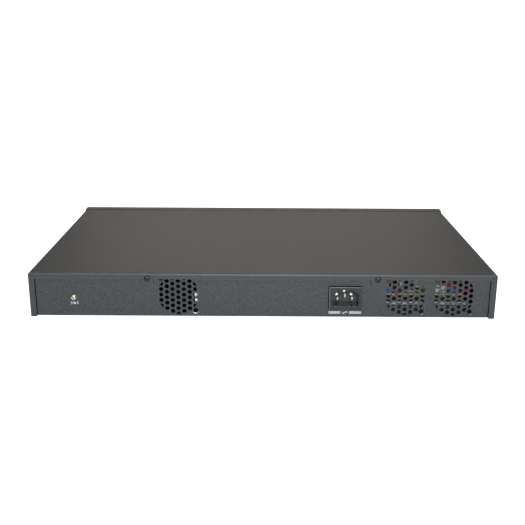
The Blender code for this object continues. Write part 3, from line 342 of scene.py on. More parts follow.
def boardMaterial(name, look):
    material, tree, shader = newMaterial(name)
    base = baseCoat(tree, look, 70.0, 0.15, 0.15)
    weave = useGroup(tree, laminateWeave, (-700, -150), {"Thread": 1400.0, "Tracks": look["tracks"]})
    traced = mixColor(tree, (-300, 150), weave["Track"], base["Color"], (*look["track"], 1))
    feed(tree, shader.inputs, {"Base Color": traced, "Roughness": base["Roughness"], "Coat Weight": 0.4})
    addBump(tree, shader, weave["Weave"], 0.2, 0.02 * mm)
    return material


def tapeMaterial(name, look):
    material, tree, shader = newMaterial(name)
    base = baseCoat(tree, look, 60.0, 0.1, 0.2)
    layers = useGroup(tree, tapeLayers, (-700, -150), {"Width": look["width"], "Wander": 1.5})
    feed(tree, shader.inputs, {"Base Color": shaded(tree, (-300, 150), base["Color"], layers["Shade"]),
                               "Roughness": base["Roughness"]})
    addBump(tree, shader, layers["Height"], 0.4, 0.08 * mm)
    return material


def clearMaterial(name, look):
    material, tree, shader = newMaterial(name)
    base = baseCoat(tree, look, 200.0, 0.1, 0.1)
    feed(tree, shader.inputs, {"Base Color": base["Color"], "Roughness": base["Roughness"],
                               "Transmission Weight": 0.6, "IOR": 1.49})
    grain = useGroup(tree, mouldGrain, (-500, -150), {"Scale": 900.0})
    addBump(tree, shader, grain["Height"], 0.08, 0.03 * mm)
    return material


looks = {
    # painted highlight: the cover's strong edge lightening towards pale grey gives the highlight along its
    # folds, on top of some wear
    "topPaint": paintMaterial("cover_paint", {
        "color": (0.034, 0.034, 0.0345), "cloud": 9.0, "swing": 0.10, "roughness": 0.46,
        "roughnessSwing": 0.05, "grain": 1300.0, "peel": 0.4, "contrast": 0.35, "bump": 0.22,
        "edge": 0.35 * mm, "wearAndSheen": 0.9, "wornAndSheenColor": (0.26, 0.27, 0.28), "dust": 0.04, "specular": 0.42,
        "coat": 0.12, "coatRoughness": 0.3}),
    "rearPaint": paintMaterial("case_paint", {
        "color": (0.034, 0.0345, 0.0355), "cloud": 14.0, "swing": 0.12, "roughness": 0.55,
        "roughnessSwing": 0.08, "grain": 700.0, "peel": 0.5, "contrast": 3.0, "bump": 0.35,
        "edge": 0.3 * mm, "wearAndSheen": 0.3, "wornAndSheenColor": (0.11, 0.11, 0.115), "dust": 0.04, "specular": 0.45,
        "coat": 0.0, "coatRoughness": 0.3}),
    "bezel": plasticMaterial("bezel_plastic", {"color": (0.028, 0.029, 0.031), "roughness": 0.45,
                                               "bump": 0.2}),
    # near-black with almost no sheen: the fan's black plastic, made darker as painted shade for the space
    # behind the vents; also the colour of the painted shade strips
    "fanPlasticAndShade": plasticMaterial("fan_plastic_and_painted_shade", {
        "color": (0.0012, 0.0012, 0.0013), "roughness": 0.6, "specular": 0.03, "dust": 0.0, "wearAndSheen": 0.1}),
    "blackPlastic": plasticMaterial("black_plastic", {"color": (0.012, 0.012, 0.013), "roughness": 0.33}),
    "inletPlastic": plasticMaterial("inlet_plastic", {
        "color": (0.010, 0.0098, 0.0096), "roughness": 0.24, "coat": 0.3, "wearAndSheen": 0.8, "dust": 0.05}),
    "blackSteel": metalMaterial("black_steel", {
        "color": (0.006, 0.006, 0.0065), "roughness": 0.3, "metallic": 0.0, "wearAndSheen": 0.25}),
    # pale metal for the painted highlight in a countersink
    "sinkHighlight": metalMaterial("sink_highlight_paint", {"color": (0.93, 0.93, 0.92), "roughness": 0.5}),
    "yellowZinc": metalMaterial("yellow_zinc", {
        "color": (0.70, 0.60, 0.42), "roughness": 0.3, "contrast": 0.5, "swing": 0.5}),
    # paler tan for the board's edge: partly the paler routed edge, partly painted highlight
    "routedEdgeAndHighlight": plasticMaterial("routed_edge_and_highlight", {
        "color": (0.70, 0.55, 0.24), "roughness": 0.5, "contrast": 0.4, "swing": 0.3}),
    # pale grey for the painted highlight on the inlet flange
    "highlightPlastic": plasticMaterial("painted_highlight_plastic", {"color": (0.16, 0.155, 0.15), "roughness": 0.35}),
    # paler grey for the painted highlight on the inlet's back wall
    "litGreyPlastic": plasticMaterial("lit_grey_plastic", {"color": (0.022, 0.022, 0.023), "roughness": 0.45}),
    "nickel": metalMaterial("nickel", {"color": (0.80, 0.76, 0.68), "roughness": 0.33}),
    "tinned": metalMaterial("tinned_steel", {"color": (0.60, 0.60, 0.60), "roughness": 0.32}),
    "gold": metalMaterial("gold_plate", {"color": (0.83, 0.60, 0.22), "roughness": 0.25}),
    "brass": metalMaterial("brass", {"color": (0.74, 0.53, 0.22), "roughness": 0.3}),
    "aluminium": metalMaterial("aluminium", {"color": (0.62, 0.63, 0.64), "roughness": 0.38}),
    "blackAluminium": metalMaterial("black_aluminium", {
        "color": (0.035, 0.035, 0.037), "roughness": 0.5, "metallic": 0.5}),
    "greenBoard": boardMaterial("green_board", {
        "color": (0.015, 0.10, 0.045), "roughness": 0.38, "track": (0.03, 0.17, 0.07), "tracks": 260.0}),
    "tanBoard": boardMaterial("tan_board", {
        "color": (0.30, 0.20, 0.08), "roughness": 0.38, "track": (0.22, 0.14, 0.05), "tracks": 140.0}),
    # painted shade: the milky insulator film is coloured dark grey for the shade under the supply board; its
    # front hem keeps the milky colour
    "shadedFilm": plasticMaterial("shaded_insulator_film", {"color": (0.10, 0.10, 0.105), "roughness": 0.4}),
    "milky": plasticMaterial("milky_film", {
        "color": (0.70, 0.71, 0.74), "roughness": 0.4, "wearAndSheen": 0.1, "swing": 0.6}),
    "whiteNylon": plasticMaterial("white_nylon", {"color": (0.78, 0.77, 0.72), "roughness": 0.45}),
    "yellowCase": plasticMaterial("yellow_case", {"color": (0.92, 0.66, 0.05), "roughness": 0.4}),
    "blueDip": plasticMaterial("blue_dip", {"color": (0.03, 0.22, 0.78), "roughness": 0.3, "coat": 0.5}),
    "creamTape": tapeMaterial("cream_tape", {
        "color": (0.88, 0.82, 0.62), "roughness": 0.35, "width": 160.0}),
    "ferrite": plasticMaterial("ferrite", {"color": (0.045, 0.042, 0.042), "roughness": 0.6, "bump": 0.4}),
    "blackSleeve": plasticMaterial("black_sleeve",
                                   {"color": (0.02, 0.02, 0.024), "roughness": 0.28, "coat": 0.3}),
    # grey metal for the fainter painted highlight in the other countersinks
    "dimSinkHighlight": metalMaterial("dim_sink_highlight_paint", {"color": (0.22, 0.22, 0.23), "roughness": 0.4}),
    "satinPlate": metalMaterial("satin_plate", {
        "color": (0.16, 0.165, 0.175), "roughness": 0.42, "stretch": (0.04, 1.0, 1.0)}),
    "greySleeve": plasticMaterial("grey_sleeve", {"color": (0.42, 0.46, 0.50), "roughness": 0.35}),
    "redWire": plasticMaterial("red_wire", {"color": (0.62, 0.03, 0.02), "roughness": 0.35}),
    # painted shade: a darker copy of the red wire colour for the lead that lies further back
    "shadedRedWire": plasticMaterial("dark_red_wire", {"color": (0.33, 0.02, 0.02), "roughness": 0.4}),
    "earthWire": plasticMaterial("earth_wire", {"color": (0.30, 0.42, 0.05), "roughness": 0.4}),
    "blackWire": plasticMaterial("black_wire", {"color": (0.02, 0.02, 0.02), "roughness": 0.35}),
    "clear": clearMaterial("clear_acrylic", {"color": (0.9, 0.93, 0.92), "roughness": 0.15}),
    "greenLamp": clearMaterial("green_lamp", {"color": (0.35, 0.75, 0.30), "roughness": 0.3}),
    "amberLamp": clearMaterial("amber_lamp", {"color": (0.85, 0.55, 0.15), "roughness": 0.3}),
    "ink": plasticMaterial("white_ink", {"color": (0.72, 0.73, 0.74), "roughness": 0.6, "dust": 0.0}),
    "portShield": metalMaterial("port_shield", {
        "color": (0.62, 0.62, 0.62), "roughness": 0.3, "stretch": (0.08, 1.0, 1.0)}),
}
print("materials ready:", len(looks))


# shape helpers

def smoothOut(mesh, angle=35):
    for face in mesh.polygons:
        face.use_smooth = True
    mesh.set_sharp_from_angle(angle=math.radians(angle))


def finishPiece(name, bm, look, replaced=(), angle=35):
    mesh = bpy.data.meshes.new(name)
    bmesh.ops.recalc_face_normals(bm, faces=bm.faces)
    bm.to_mesh(mesh)
    bm.free()
    mesh.materials.append(looks[look])
    smoothOut(mesh, angle)
    piece = bpy.data.objects.new(name, mesh)
    scene.collection.objects.link(piece)
    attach(piece, "chassis")
    if replaced:
        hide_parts(*replaced)
    return piece


def roundEdges(bm, verts, rounding, steps=2):
    edges = list({e for v in verts for e in v.link_edges})
    bmesh.ops.bevel(bm, geom=edges, offset=rounding, segments=steps, profile=0.5, affect="EDGES")


def addBlock(bm, low, high, rounding=0.0, steps=2):
    low, high = Vector(low), Vector(high)
    made = bmesh.ops.create_cube(bm, size=1.0, matrix=Matrix.Translation((low + high) / 2)
                                 @ Matrix.Diagonal((*(high - low), 1)))
    if rounding > 0:
        roundEdges(bm, made["verts"], rounding, steps)


def addSpan(bm, xs, ys, zs, rounding=0.0):
    # a block whose ends may be given in either order
    addBlock(bm, *zip(*(sorted(pair) for pair in (xs, ys, zs))), rounding)


def addSpring(bm, centre, size, rise):
    # a strip along Y whose inner end stands off by rise
    made = bmesh.ops.create_cube(bm, size=1.0, matrix=Matrix.Translation(centre) @ Matrix.Diagonal((*size,
                                                                                                    1)))
    for v in made["verts"]:
        if v.co.y < centre[1]:
            v.co.z += rise
    return made["verts"]


def addTurned(bm, profile, centre, axis, sides=32):
    turn = Vector((0, 0, 1)).rotation_difference(Vector(axis)).to_matrix()
    rings = []
    for radius, height in profile:
        if radius < 1e-7:
            rings.append([bm.verts.new(Vector(centre) + turn @ Vector((0, 0, height)))])
        else:
            rings.append([bm.verts.new(Vector(centre) + turn @ Vector((
                radius * math.cos(2 * math.pi * k / sides), radius * math.sin(2 * math.pi * k / sides),
                height)))
                for k in range(sides)])
    for lower, upper in zip(rings, rings[1:]):
        for k in range(sides):
            j = (k + 1) % sides
            if len(lower) == 1 and len(upper) > 1:
                bm.faces.new((lower[0], upper[k], upper[j]))
            elif len(upper) == 1 and len(lower) > 1:
                bm.faces.new((lower[k], lower[j], upper[0]))
            elif len(lower) > 1:
                bm.faces.new((lower[k], lower[j], upper[j], upper[k]))
    for ring in (rings[0], rings[-1]):
        if len(ring) > 1:
            bm.faces.new(ring)


def addPrism(bm, lower, upper):
    start = [bm.verts.new(point) for point in lower]
    end = [bm.verts.new(point) for point in upper]
    bm.faces.new(start)
    bm.faces.new(end[::-1])
    for k in range(len(start)):
        bm.faces.new((start[k], start[k - 1], end[k - 1], end[k]))


def addOutline(bm, points, depth, place):
    # points are (x, z), drawn out along +Y from place
    place = Vector(place)
    addPrism(bm, [place + Vector((x, 0, z)) for x, z in points],
             [place + Vector((x, depth, z)) for x, z in points])


def addStroke(bm, points, width, y, thick):
    for (x0, z0), (x1, z1) in zip(points, points[1:]):
        side = Vector((z0 - z1, 0, x1 - x0)).normalized() * width / 2
        ends = [Vector((x0, y, z0)), Vector((x1, y, z1))]
        outer = [ends[0] - side, ends[1] - side, ends[1] + side, ends[0] + side]
        addPrism(bm, outer, [point + Vector((0, thick, 0)) for point in outer])


def roundedOutline(width, height, radius, steps=6):
    points = []
    for k, (sx, sz) in enumerate(((1, 1), (-1, 1), (-1, -1), (1, -1))):
        cx, cz = sx * (width / 2 - radius), sz * (height / 2 - radius)
        for i in range(steps + 1):
            a = math.pi / 2 * (k + i / steps)
            points.append((cx + radius * math.cos(a), cz + radius * math.sin(a)))
    return points


def cutShape(target, bm):
    mesh = bpy.data.meshes.new("cutter")
    bmesh.ops.recalc_face_normals(bm, faces=bm.faces)
    bm.to_mesh(mesh)
    bm.free()
    cutter = bpy.data.objects.new("cutter", mesh)
    scene.collection.objects.link(cutter)
    modifier = target.modifiers.new("cut", "BOOLEAN")
    modifier.object, modifier.operation, modifier.solver = cutter, "DIFFERENCE", "EXACT"
    modifier.use_self = True
    bpy.context.view_layer.update()
    graph = bpy.context.evaluated_depsgraph_get()
    made = bpy.data.meshes.new_from_object(target.evaluated_get(graph))
    target.modifiers.remove(modifier)
    old = target.data
    made.name = old.name
    target.data = made
    bpy.data.meshes.remove(old)
    bpy.data.objects.remove(cutter)
    smoothOut(made)


def meshFrom(curve):
    drawn = bpy.data.objects.new(curve.name, curve)
    scene.collection.objects.link(drawn)
    bpy.context.view_layer.update()
    mesh = bpy.data.meshes.new_from_object(drawn.evaluated_get(bpy.context.evaluated_depsgraph_get()))
    bpy.data.objects.remove(drawn)
    return mesh


def tube(name, route, radius, look):
    curve = bpy.data.curves.new(name, "CURVE")
    curve.dimensions = "3D"
    curve.bevel_depth, curve.bevel_resolution, curve.use_fill_caps = radius, 4, True
    line = curve.splines.new("NURBS")
    line.points.add(len(route) - 1)
    for point, place in zip(line.points, route):
        point.co = (*place, 1)
    line.order_u, line.use_endpoint_u, curve.resolution_u = 4, True, 8
    mesh = meshFrom(curve)
    bm = bmesh.new()
    bm.from_mesh(mesh)
    bpy.data.meshes.remove(mesh)
    return finishPiece(name, bm, look, (), 60)


# carried-over parts and their finishes

def dressNode(name, look, angle=35):
    node = nodes[name]
    node.data.materials.clear()
    node.data.materials.append(looks[look])
    smoothOut(node.data, angle)


dressNode("top_cover", "topPaint", 40)
dressNode("base_tray", "rearPaint", 30)
dressNode("front_bezel", "bezel", 40)
for name in nodes:
    if name.startswith("board_standoff"):
        dressNode(name, "brass")
    if name.startswith("port_block"):
        dressNode(name, "portShield", 30)
for name, look, slotName in (
        ("fan_frame", "fanPlasticAndShade", "black_plastic"),
        ("fan_rotor", "fanPlasticAndShade", "black_plastic"), ("main_board", "greenBoard", "green_board"),
        ("console_jack", "portShield", "tinned_steel"), ("module_cage", "tinned", "tinned_steel"),
        ("reset_button", "blackPlastic", "black_plastic"), ("reset_switch", "blackPlastic", "black_plastic"),
        ("switch_chip", "blackPlastic", "black_plastic"), ("chip_heatsink", "blackAluminium", "aluminium"),
        ("light_pipe", "clear", "clear_acrylic"), ("supply_board", "tanBoard", "tan_board"),
        # the insulator takes the dark painted-shade film colour
        ("supply_insulator", "shadedFilm", "milky_film"), ("supply_heatsink", "aluminium", "aluminium"),
        ("fan_wire_red", "redWire", "red_wire"), ("fan_wire_black", "blackWire", "black_wire"),
        # the neutral lead takes the darker painted-shade copy of the live lead's red
        ("mains_wire_live", "redWire", "red_wire"), ("mains_wire_neutral", "shadedRedWire", "dark_red_wire"),
        ("earth_wire", "earthWire", "earth_wire"), ("supply_harness", "blackWire", "black_wire"),
        ("fan_plug", "whiteNylon", "white_nylon"), ("spare_fan_header", "whiteNylon", "white_nylon"),
        ("mains_terminal", "whiteNylon", "white_nylon"), ("bulk_capacitor", "blackSleeve", "black_sleeve"),
        ("line_filter_capacitor", "yellowCase", "yellow_case"),
        ("line_capacitor", "yellowCase", "yellow_case"),
        ("transformer_winding", "creamTape", "cream_tape"), ("transformer_core", "ferrite", "ferrite"),
        ("safety_capacitor_1", "blueDip", "blue_dip"), ("safety_capacitor_2", "blueDip", "blue_dip"),
        ("safety_capacitor_3", "blueDip", "blue_dip")):
    dressNode(name, look)
for index in range(1, 5):
    dressNode(f"supply_standoff_{index}", "brass")
print("carried-over parts dressed")


# cross-head screws

screwShape = {"dome": ((0, 1), (0.45, 0.985), (0.7, 0.9), (0.87, 0.74), (0.97, 0.5), (1, 0.25), (0.985, 0.04),
                       (0.94, 0)), "threads": 14, "root": 0.86, "tip": (0.5, 1.04),
              "cross": (1.12, 0.24, 1.1), "taper": 0.45}


def crossScrew(name, node, place, axis, head):
    radius, height, shank, length = head["radius"], head["height"], head["shank"], head["length"]
    threads = screwShape["threads"]
    profile = [(r * radius, h * height) for r, h in screwShape["dome"]] + [(shank, 0)]
    for turn in range(threads):
        profile.append((shank * (screwShape["root"] if turn % 2 else 1.0), -length * (turn + 0.5) / threads))
    profile += [(screwShape["tip"][0] * shank, -length), (0, -length * screwShape["tip"][1])]
    bm = bmesh.new()
    addTurned(bm, profile, (0, 0, 0), (0, 0, 1), 36)
    screw = finishPiece(name, bm, head["look"])
    bm = bmesh.new()
    long, wide, deep = screwShape["cross"]
    for spin in (0.0, math.pi / 2):
        made = bmesh.ops.create_cube(bm, size=1.0, matrix=Matrix.Translation((0, 0, height))
                                     @ Matrix.Rotation(spin + head["spin"], 4, "Z")
                                     @ Matrix.Diagonal((long * radius, wide * radius, deep * height, 1)))
        for v in made["verts"]:
            if v.co.z < height:
                v.co.x *= screwShape["taper"]
                v.co.y *= screwShape["taper"]
    cutShape(screw, bm)
    screw.parent = None
    screw.matrix_world = (Matrix.Translation(place)
                          @ Vector((0, 0, 1)).rotation_difference(Vector(axis)).to_matrix().to_4x4())
    bpy.context.view_layer.update()
    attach(screw, "chassis")
    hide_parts(node)


def headPlace(node, axis):
    # middle of the outer face of a carried-over screw's head
    low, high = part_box(node)
    middle = (low + high) / 2
    axis = Vector(axis)
    k = max(range(3), key=lambda i: abs(axis[i]))
    middle[k] = high[k] if axis[k] > 0 else low[k]
    return middle


screwLooks = {
    "cover": {"radius": 2.75 * mm, "height": 1.6 * mm, "shank": 1.4 * mm, "length": 5.0 * mm,
              "look": "blackSteel", "slot": "black_steel", "spin": 0.5},
    "side": {"radius": 2.75 * mm, "height": 0.45 * mm, "shank": 1.4 * mm, "length": 5.0 * mm,
             "look": "blackSteel", "slot": "black_steel", "spin": 0.2},
    "ground": {"radius": 2.8 * mm, "height": 2.3 * mm, "shank": 1.4 * mm, "length": 5.6 * mm,
               "look": "yellowZinc", "slot": "nickel", "spin": 0.78},
}
for node, axis, kind in (
        ("cover_screw_left", faceOut, "cover"), ("cover_screw_right", faceOut, "cover"),
        ("side_screw_left_1", (-1, 0, 0), "side"), ("side_screw_left_2", (-1, 0, 0), "side"),
        ("side_screw_right_1", (1, 0, 0), "side"), ("side_screw_right_2", (1, 0, 0), "side"),
        ("ground_screw", faceOut, "ground")):
    top = headPlace(node, axis)
    crossScrew(node + "_head", node, top - Vector(axis) * screwLooks[kind]["height"], axis, screwLooks[kind])

washer = {"ring": ((1.5, 0.1), (1.5, 0.5), (2.5, 0.58), (2.75, 0.4), (2.75, 0.05), (2.6, 0), (1.6, 0),
                   (1.5, 0.1)), "sides": 36}  # mm
low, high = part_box("ground_washer")
bm = bmesh.new()
addTurned(bm, [(r * mm, h * mm) for r, h in washer["ring"]],
          ((low.x + high.x) / 2, high.y, (low.z + high.z) / 2),
          faceOut, washer["sides"])
bmesh.ops.remove_doubles(bm, verts=bm.verts, dist=1e-6)
finishPiece("ground_lock_washer", bm, "yellowZinc", replaced=["ground_washer"])
print("screws ready")


# mains inlet

inlet = {"x": 78.1 * mm, "z": 20.0 * mm, "flange": (31.0 * mm, 22.8 * mm), "flangeCorner": 1.2 * mm,
         "proud": 1.7 * mm, "body": (27.2 * mm, 19.2 * mm), "bodyCorner": 0.8 * mm, "edge": 0.45 * mm,
         "mouth": (24.8 * mm, 16.6 * mm), "chamfer": 4.7 * mm, "depth": 19.8 * mm, "mouthDepth": 16.5 * mm,
         "mouthStep": 0.5 * mm, "stepDepth": 0.5 * mm, "gap": 0.3 * mm, "drop": (0.7 * mm, 1.4 * mm),
         "lip": ((0.15, 0.5), (0.15, 0.0), (0.5, -0.05), (0.9, 0.0), (0.95, 0.4)), "lipChamfer": 0.4,
         "pinEdge": 0.35 * mm, "pinNose": 0.6 * mm, "pinTaper": (0.72, 0.86),
         "collar": (2.3 * mm, 2.6 * mm, 0.8 * mm, 1.0 * mm), "collarAt": 1.1 * mm,
         "wall": (0.3 * mm, 0.4 * mm, 0.45 * mm), "post": (3.4 * mm, 1.2 * mm, -1 * mm, 3 * mm, 0.2 * mm),
         "postDepth": (0.9 * mm, 0.2 * mm), "gapShade": (0.55 * mm, 0.3 * mm, 0.5 * mm),
         "gapShadeEdge": 0.08 * mm,
         "bead": (0.06 * mm, 0.3 * mm, 0.05 * mm)}


def mouthOutline(width, height, cut):
    w, h = width / 2, height / 2
    return [(w - cut, h), (-w + cut, h), (-w, h - cut), (-w, -h), (w, -h), (w, h - cut)]


def makeInletPin(node, face):
    low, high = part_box(node)
    drop = Vector((0, 0, inlet["drop"][node.endswith("earth")]))
    low, high = low - drop, high - drop
    middle = (low + high) / 2
    bm = bmesh.new()
    addBlock(bm, low, high, inlet["pinEdge"], 3)
    for v in bm.verts:
        if v.co.y < low.y + inlet["pinNose"]:
            v.co.x = middle.x + (v.co.x - middle.x) * inlet["pinTaper"][0]
            v.co.z = middle.z + (v.co.z - middle.z) * inlet["pinTaper"][1]
    finishPiece(node + "_blade", bm, "nickel", replaced=[node])
    width, height, corner, deep = inlet["collar"]
    bm = bmesh.new()
    addOutline(bm, roundedOutline(width, height, corner), deep,
               (middle.x, face + inlet["mouthDepth"] - inlet["collarAt"], middle.z + inlet["collarAt"]))
    finishPiece(node + "_collar", bm, "nickel")


def makeInlet():
    seat = panelY - inlet["gap"]
    face = seat - inlet["proud"]
    x, z, mouthEnd = inlet["x"], inlet["z"], face + inlet["mouthDepth"]
    bm = bmesh.new()
    addOutline(bm, roundedOutline(*inlet["flange"], inlet["flangeCorner"]), inlet["proud"], (x, face, z))
    addOutline(bm, roundedOutline(*inlet["body"], inlet["bodyCorner"]), inlet["depth"] - 0.2 * mm,
               (x, face + 0.2 * mm, z))
    edges = [e for e in bm.edges if all(abs(v.co.y - face) < 1e-6 for v in e.verts)]
    bmesh.ops.bevel(bm, geom=edges, offset=inlet["edge"], segments=3, profile=0.5, affect="EDGES")
    housing = finishPiece("inlet_moulding", bm, "inletPlastic", replaced=["inlet_housing"])
    width, height = inlet["mouth"]
    step, clear = 2 * inlet["mouthStep"], 1.0 * mm  # the cutters start clear of the face
    for grow, deep in ((step, inlet["stepDepth"]), (0, inlet["mouthDepth"])):
        bm = bmesh.new()
        addOutline(bm, mouthOutline(width + grow, height + grow, inlet["chamfer"]), deep + clear,
                   (x, face - clear, z))
        cutShape(housing, bm)
    bm = bmesh.new()  # raised rim round the mouth
    rings = []
    for grow, y in inlet["lip"]:
        outline = mouthOutline(width + 2 * grow * mm, height + 2 * grow * mm,
                               inlet["chamfer"] + inlet["lipChamfer"] * grow * mm)
        rings.append([bm.verts.new((x + dx, face + y * mm, z + dz)) for dx, dz in outline])
    for a, b in zip(rings, rings[1:] + rings[:1]):
        for k in range(len(a)):
            bm.faces.new((a[k], a[k - 1], b[k - 1], b[k]))
    finishPiece("inlet_rim", bm, "inletPlastic", angle=20)
    for node in ("inlet_pin_live", "inlet_pin_neutral", "inlet_pin_earth"):
        makeInletPin(node, face)
    less, thick, back = inlet["wall"]
    out, half, foot, top, rounding = inlet["post"]
    # painted highlight: the back wall of the mouth is paler than the moulding round it, for the light that
    # reaches it
    bm = bmesh.new()
    addOutline(bm, mouthOutline(width - less, height - less, inlet["chamfer"]), thick,
               (x, mouthEnd - back, z))
    for side in (-1, 1):
        middle = x + side * out
        addBlock(bm, (middle - half, mouthEnd - inlet["postDepth"][0], z + foot),
                 (middle + half, mouthEnd - inlet["postDepth"][1], z + top), rounding)
    finishPiece("inlet_back_wall", bm, "litGreyPlastic")
    w, h = inlet["flange"][0] / 2, inlet["flange"][1] / 2
    left, right, above = inlet["gapShade"]
    bm = bmesh.new()  # painted shade in the gap round the flange: near-black strips at its left, top and right
    for x0, x1, z0 in ((-w - left, -w, -h), (-w, w, h), (w, w + right, -h)):
        addBlock(bm, (x + x0, seat, z + z0), (x + x1, panelY, z + h + above), inlet["gapShadeEdge"])
    finishPiece("inlet_gap_shade", bm, "fanPlasticAndShade")
    proud, sunk, rounding = inlet["bead"]
    # painted highlight: pale strips along the top and left edges of the flange face
    bm = bmesh.new()
    for x0, x1, z0, z1 in ((-w + 0.4 * mm, w - 0.4 * mm, h - 0.75 * mm, h - 0.3 * mm),
                           (-w + 0.35 * mm, -w + 0.65 * mm, -h + 0.4 * mm, h - 0.4 * mm)):
        addBlock(bm, (x + x0, face - proud, z + z0), (x + x1, face + sunk, z + z1), rounding)
    finishPiece("inlet_painted_highlight", bm, "highlightPlastic")


makeInlet()
print("inlet ready")


# fan screws and the fan's leads

fanScrew = {"radius": 2.0 * mm, "shank": 1.6 * mm, "deep": 0.8 * mm, "length": 8.0 * mm,
            "dome": ((0, -0.05), (0.55, -0.03), (0.9, 0.04), (1, 0.16)), "neck": 0.8, "threads": 12,
            "firstThread": 1.2, "threadPitch": 0.55, "root": 0.88, "tip": 0.4, "point": 0.1 * mm,
            "cross": (1.15, 1.3 * mm, 0.26), "crossAt": 0.2 * mm, "spin": 0.3}


def makeFanScrew(index):
    low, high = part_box(f"fan_screw_{index}")
    x, z, y = (low.x + high.x) / 2, (low.z + high.z) / 2, panelY + fanScrew["deep"]
    radius, shank, length = fanScrew["radius"], fanScrew["shank"], fanScrew["length"]
    profile = [(r * radius, h * mm) for r, h in fanScrew["dome"]] + [(shank, fanScrew["neck"] * mm)]
    for turn in range(fanScrew["threads"]):
        profile.append((shank * (fanScrew["root"] if turn % 2 else 1.0),
                        (fanScrew["firstThread"] + fanScrew["threadPitch"] * turn) * mm))
    profile += [(fanScrew["tip"] * shank, length), (0, length + fanScrew["point"])]
    bm = bmesh.new()
    addTurned(bm, profile, (x, y, z), faceIn, 36)
    # painted shade: the fan screws take the near-black fan colour so the screw holes read as dark
    screw = finishPiece(f"fan_screw_head_{index}", bm, "fanPlasticAndShade", replaced=[f"fan_screw_{index}"])
    bm = bmesh.new()
    long, deep, wide = fanScrew["cross"]
    for spin in (fanScrew["spin"], fanScrew["spin"] + math.pi / 2):
        bmesh.ops.create_cube(bm, size=1.0, matrix=Matrix.Translation((x, y - fanScrew["crossAt"], z))
                              @ Matrix.Rotation(spin, 4, "Y")
                              @ Matrix.Diagonal((long * radius, deep, wide * radius, 1)))
    cutShape(screw, bm)


for index in (1, 2):
    makeFanScrew(index)

fan = {"x": -79.6 * mm, "z": 22.3 * mm, "y": -130.1 * mm, "lead": 0.62 * mm,
       "red": ((16.9, 0.8), (18.1, 3.0), (18.2, 5.4), (16.9, 8.8)),  # mm from the middle of the vent
       "black": ((16.6, -0.6), (17.4, -2.4), (17.2, -5.0), (15.6, -9.6)),
       "clip": ((15.6, -1.0, -7.0), (18.0, 0.9, -4.4), 0.3),
       "sleeve": ((15.2, -1.25, -1.9), (18.4, 0.8, 1.3), 0.4)}
for word in ("red", "black"):
    tube(f"fan_lead_{word}", [(fan["x"] + x * mm, fan["y"], fan["z"] + z * mm) for x, z in fan[word]],
         fan["lead"], word + "Wire")
for part, look, slotName in (("clip", "whiteNylon", "white_nylon"), ("sleeve", "greySleeve", None)):
    low, high, rounding = fan[part]
    middle = Vector((fan["x"], fan["y"], fan["z"]))
    bm = bmesh.new()
    addBlock(bm, middle + Vector(low) * mm, middle + Vector(high) * mm, rounding * mm)
    finishPiece("fan_lead_" + part, bm, look)
print("fan leads ready")


# power supply parts

canShape = {"bead": 0.93, "crimpLow": 1.6 * mm, "crimpHigh": 2.9 * mm, "lid": 0.88, "sunk": 0.5 * mm,
            "stripeStart": -118, "stripeSpan": 44, "stripeSteps": 6, "score": (1.1, 0.3 * mm, 0.2 * mm)}


def addCan(bm, x, y, base, radius, height, sides=32):
    top, bead, lid = base + height, canShape["bead"] * radius, canShape["lid"] * radius
    low, high = base + canShape["crimpLow"], base + canShape["crimpHigh"]
    addTurned(bm, [(0, base), (0.86 * radius, base), (radius, base + 0.7 * mm), (radius, low),
                   (bead, low + 0.4 * mm), (bead, high - 0.5 * mm), (radius, high), (radius, top - 0.7 * mm),
                   (0.96 * radius, top - 0.2 * mm), (lid, top - 0.15 * mm), (lid, top - canShape["sunk"]),
                   (0, top - canShape["sunk"])], (x, y, 0), (0, 0, 1), sides)


def makeCan(name, node):
    low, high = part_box(node)
    x, y = (low.x + high.x) / 2, (low.y + high.y) / 2
    radius = (high.x - low.x) / 2
    bm = bmesh.new()
    addCan(bm, x, y, low.z, radius, high.z - low.z)
    finishPiece(name + "_sleeve", bm, "blackSleeve", replaced=[node])
    bm = bmesh.new()
    seat, face = high.z - canShape["sunk"], high.z - canShape["sunk"] / 2
    addTurned(bm, [(0, seat), (0.84 * radius, seat), (0.84 * radius, face), (0, face)], (x, y, 0), (0, 0, 1))
    lid = finishPiece(name + "_lid", bm, "aluminium")
    bm = bmesh.new()
    long, wide, deep = canShape["score"]
    for spin in (0.5, 0.5 + math.pi / 2):  # scored cross
        bmesh.ops.create_cube(bm, size=1.0, matrix=Matrix.Translation((x, y, face + 0.05 * mm))
                              @ Matrix.Rotation(spin, 4,
                                                "Z") @ Matrix.Diagonal((long * radius, wide, deep, 1)))
    cutShape(lid, bm)
    bm = bmesh.new()  # pale stripe on the sleeve, turned towards the rear panel: partly the sleeve's printed stripe, partly a painted highlight
    steps, proud = canShape["stripeSteps"], radius + 0.03 * mm
    columns = []
    for k in range(steps + 1):
        angle = math.radians(canShape["stripeStart"] + canShape["stripeSpan"] * k / steps)
        columns.append([bm.verts.new((x + proud * math.cos(angle), y + proud * math.sin(angle), z))
                        for z in (low.z + canShape["crimpHigh"] + 0.3 * mm, high.z - 0.9 * mm)])
    for a, b in zip(columns, columns[1:]):
        bm.faces.new((a[0], b[0], b[1], a[1]))
    finishPiece(name + "_stripe_and_highlight", bm, "milky")


makeCan("bulk_capacitor", "bulk_capacitor")
makeCan("line_capacitor", "line_capacitor")


disc = {"round": 0.9, "skirt": 0.7, "leadFoot": 1.9 * mm, "leadTop": 1.5 * mm, "lead": 0.3 * mm}


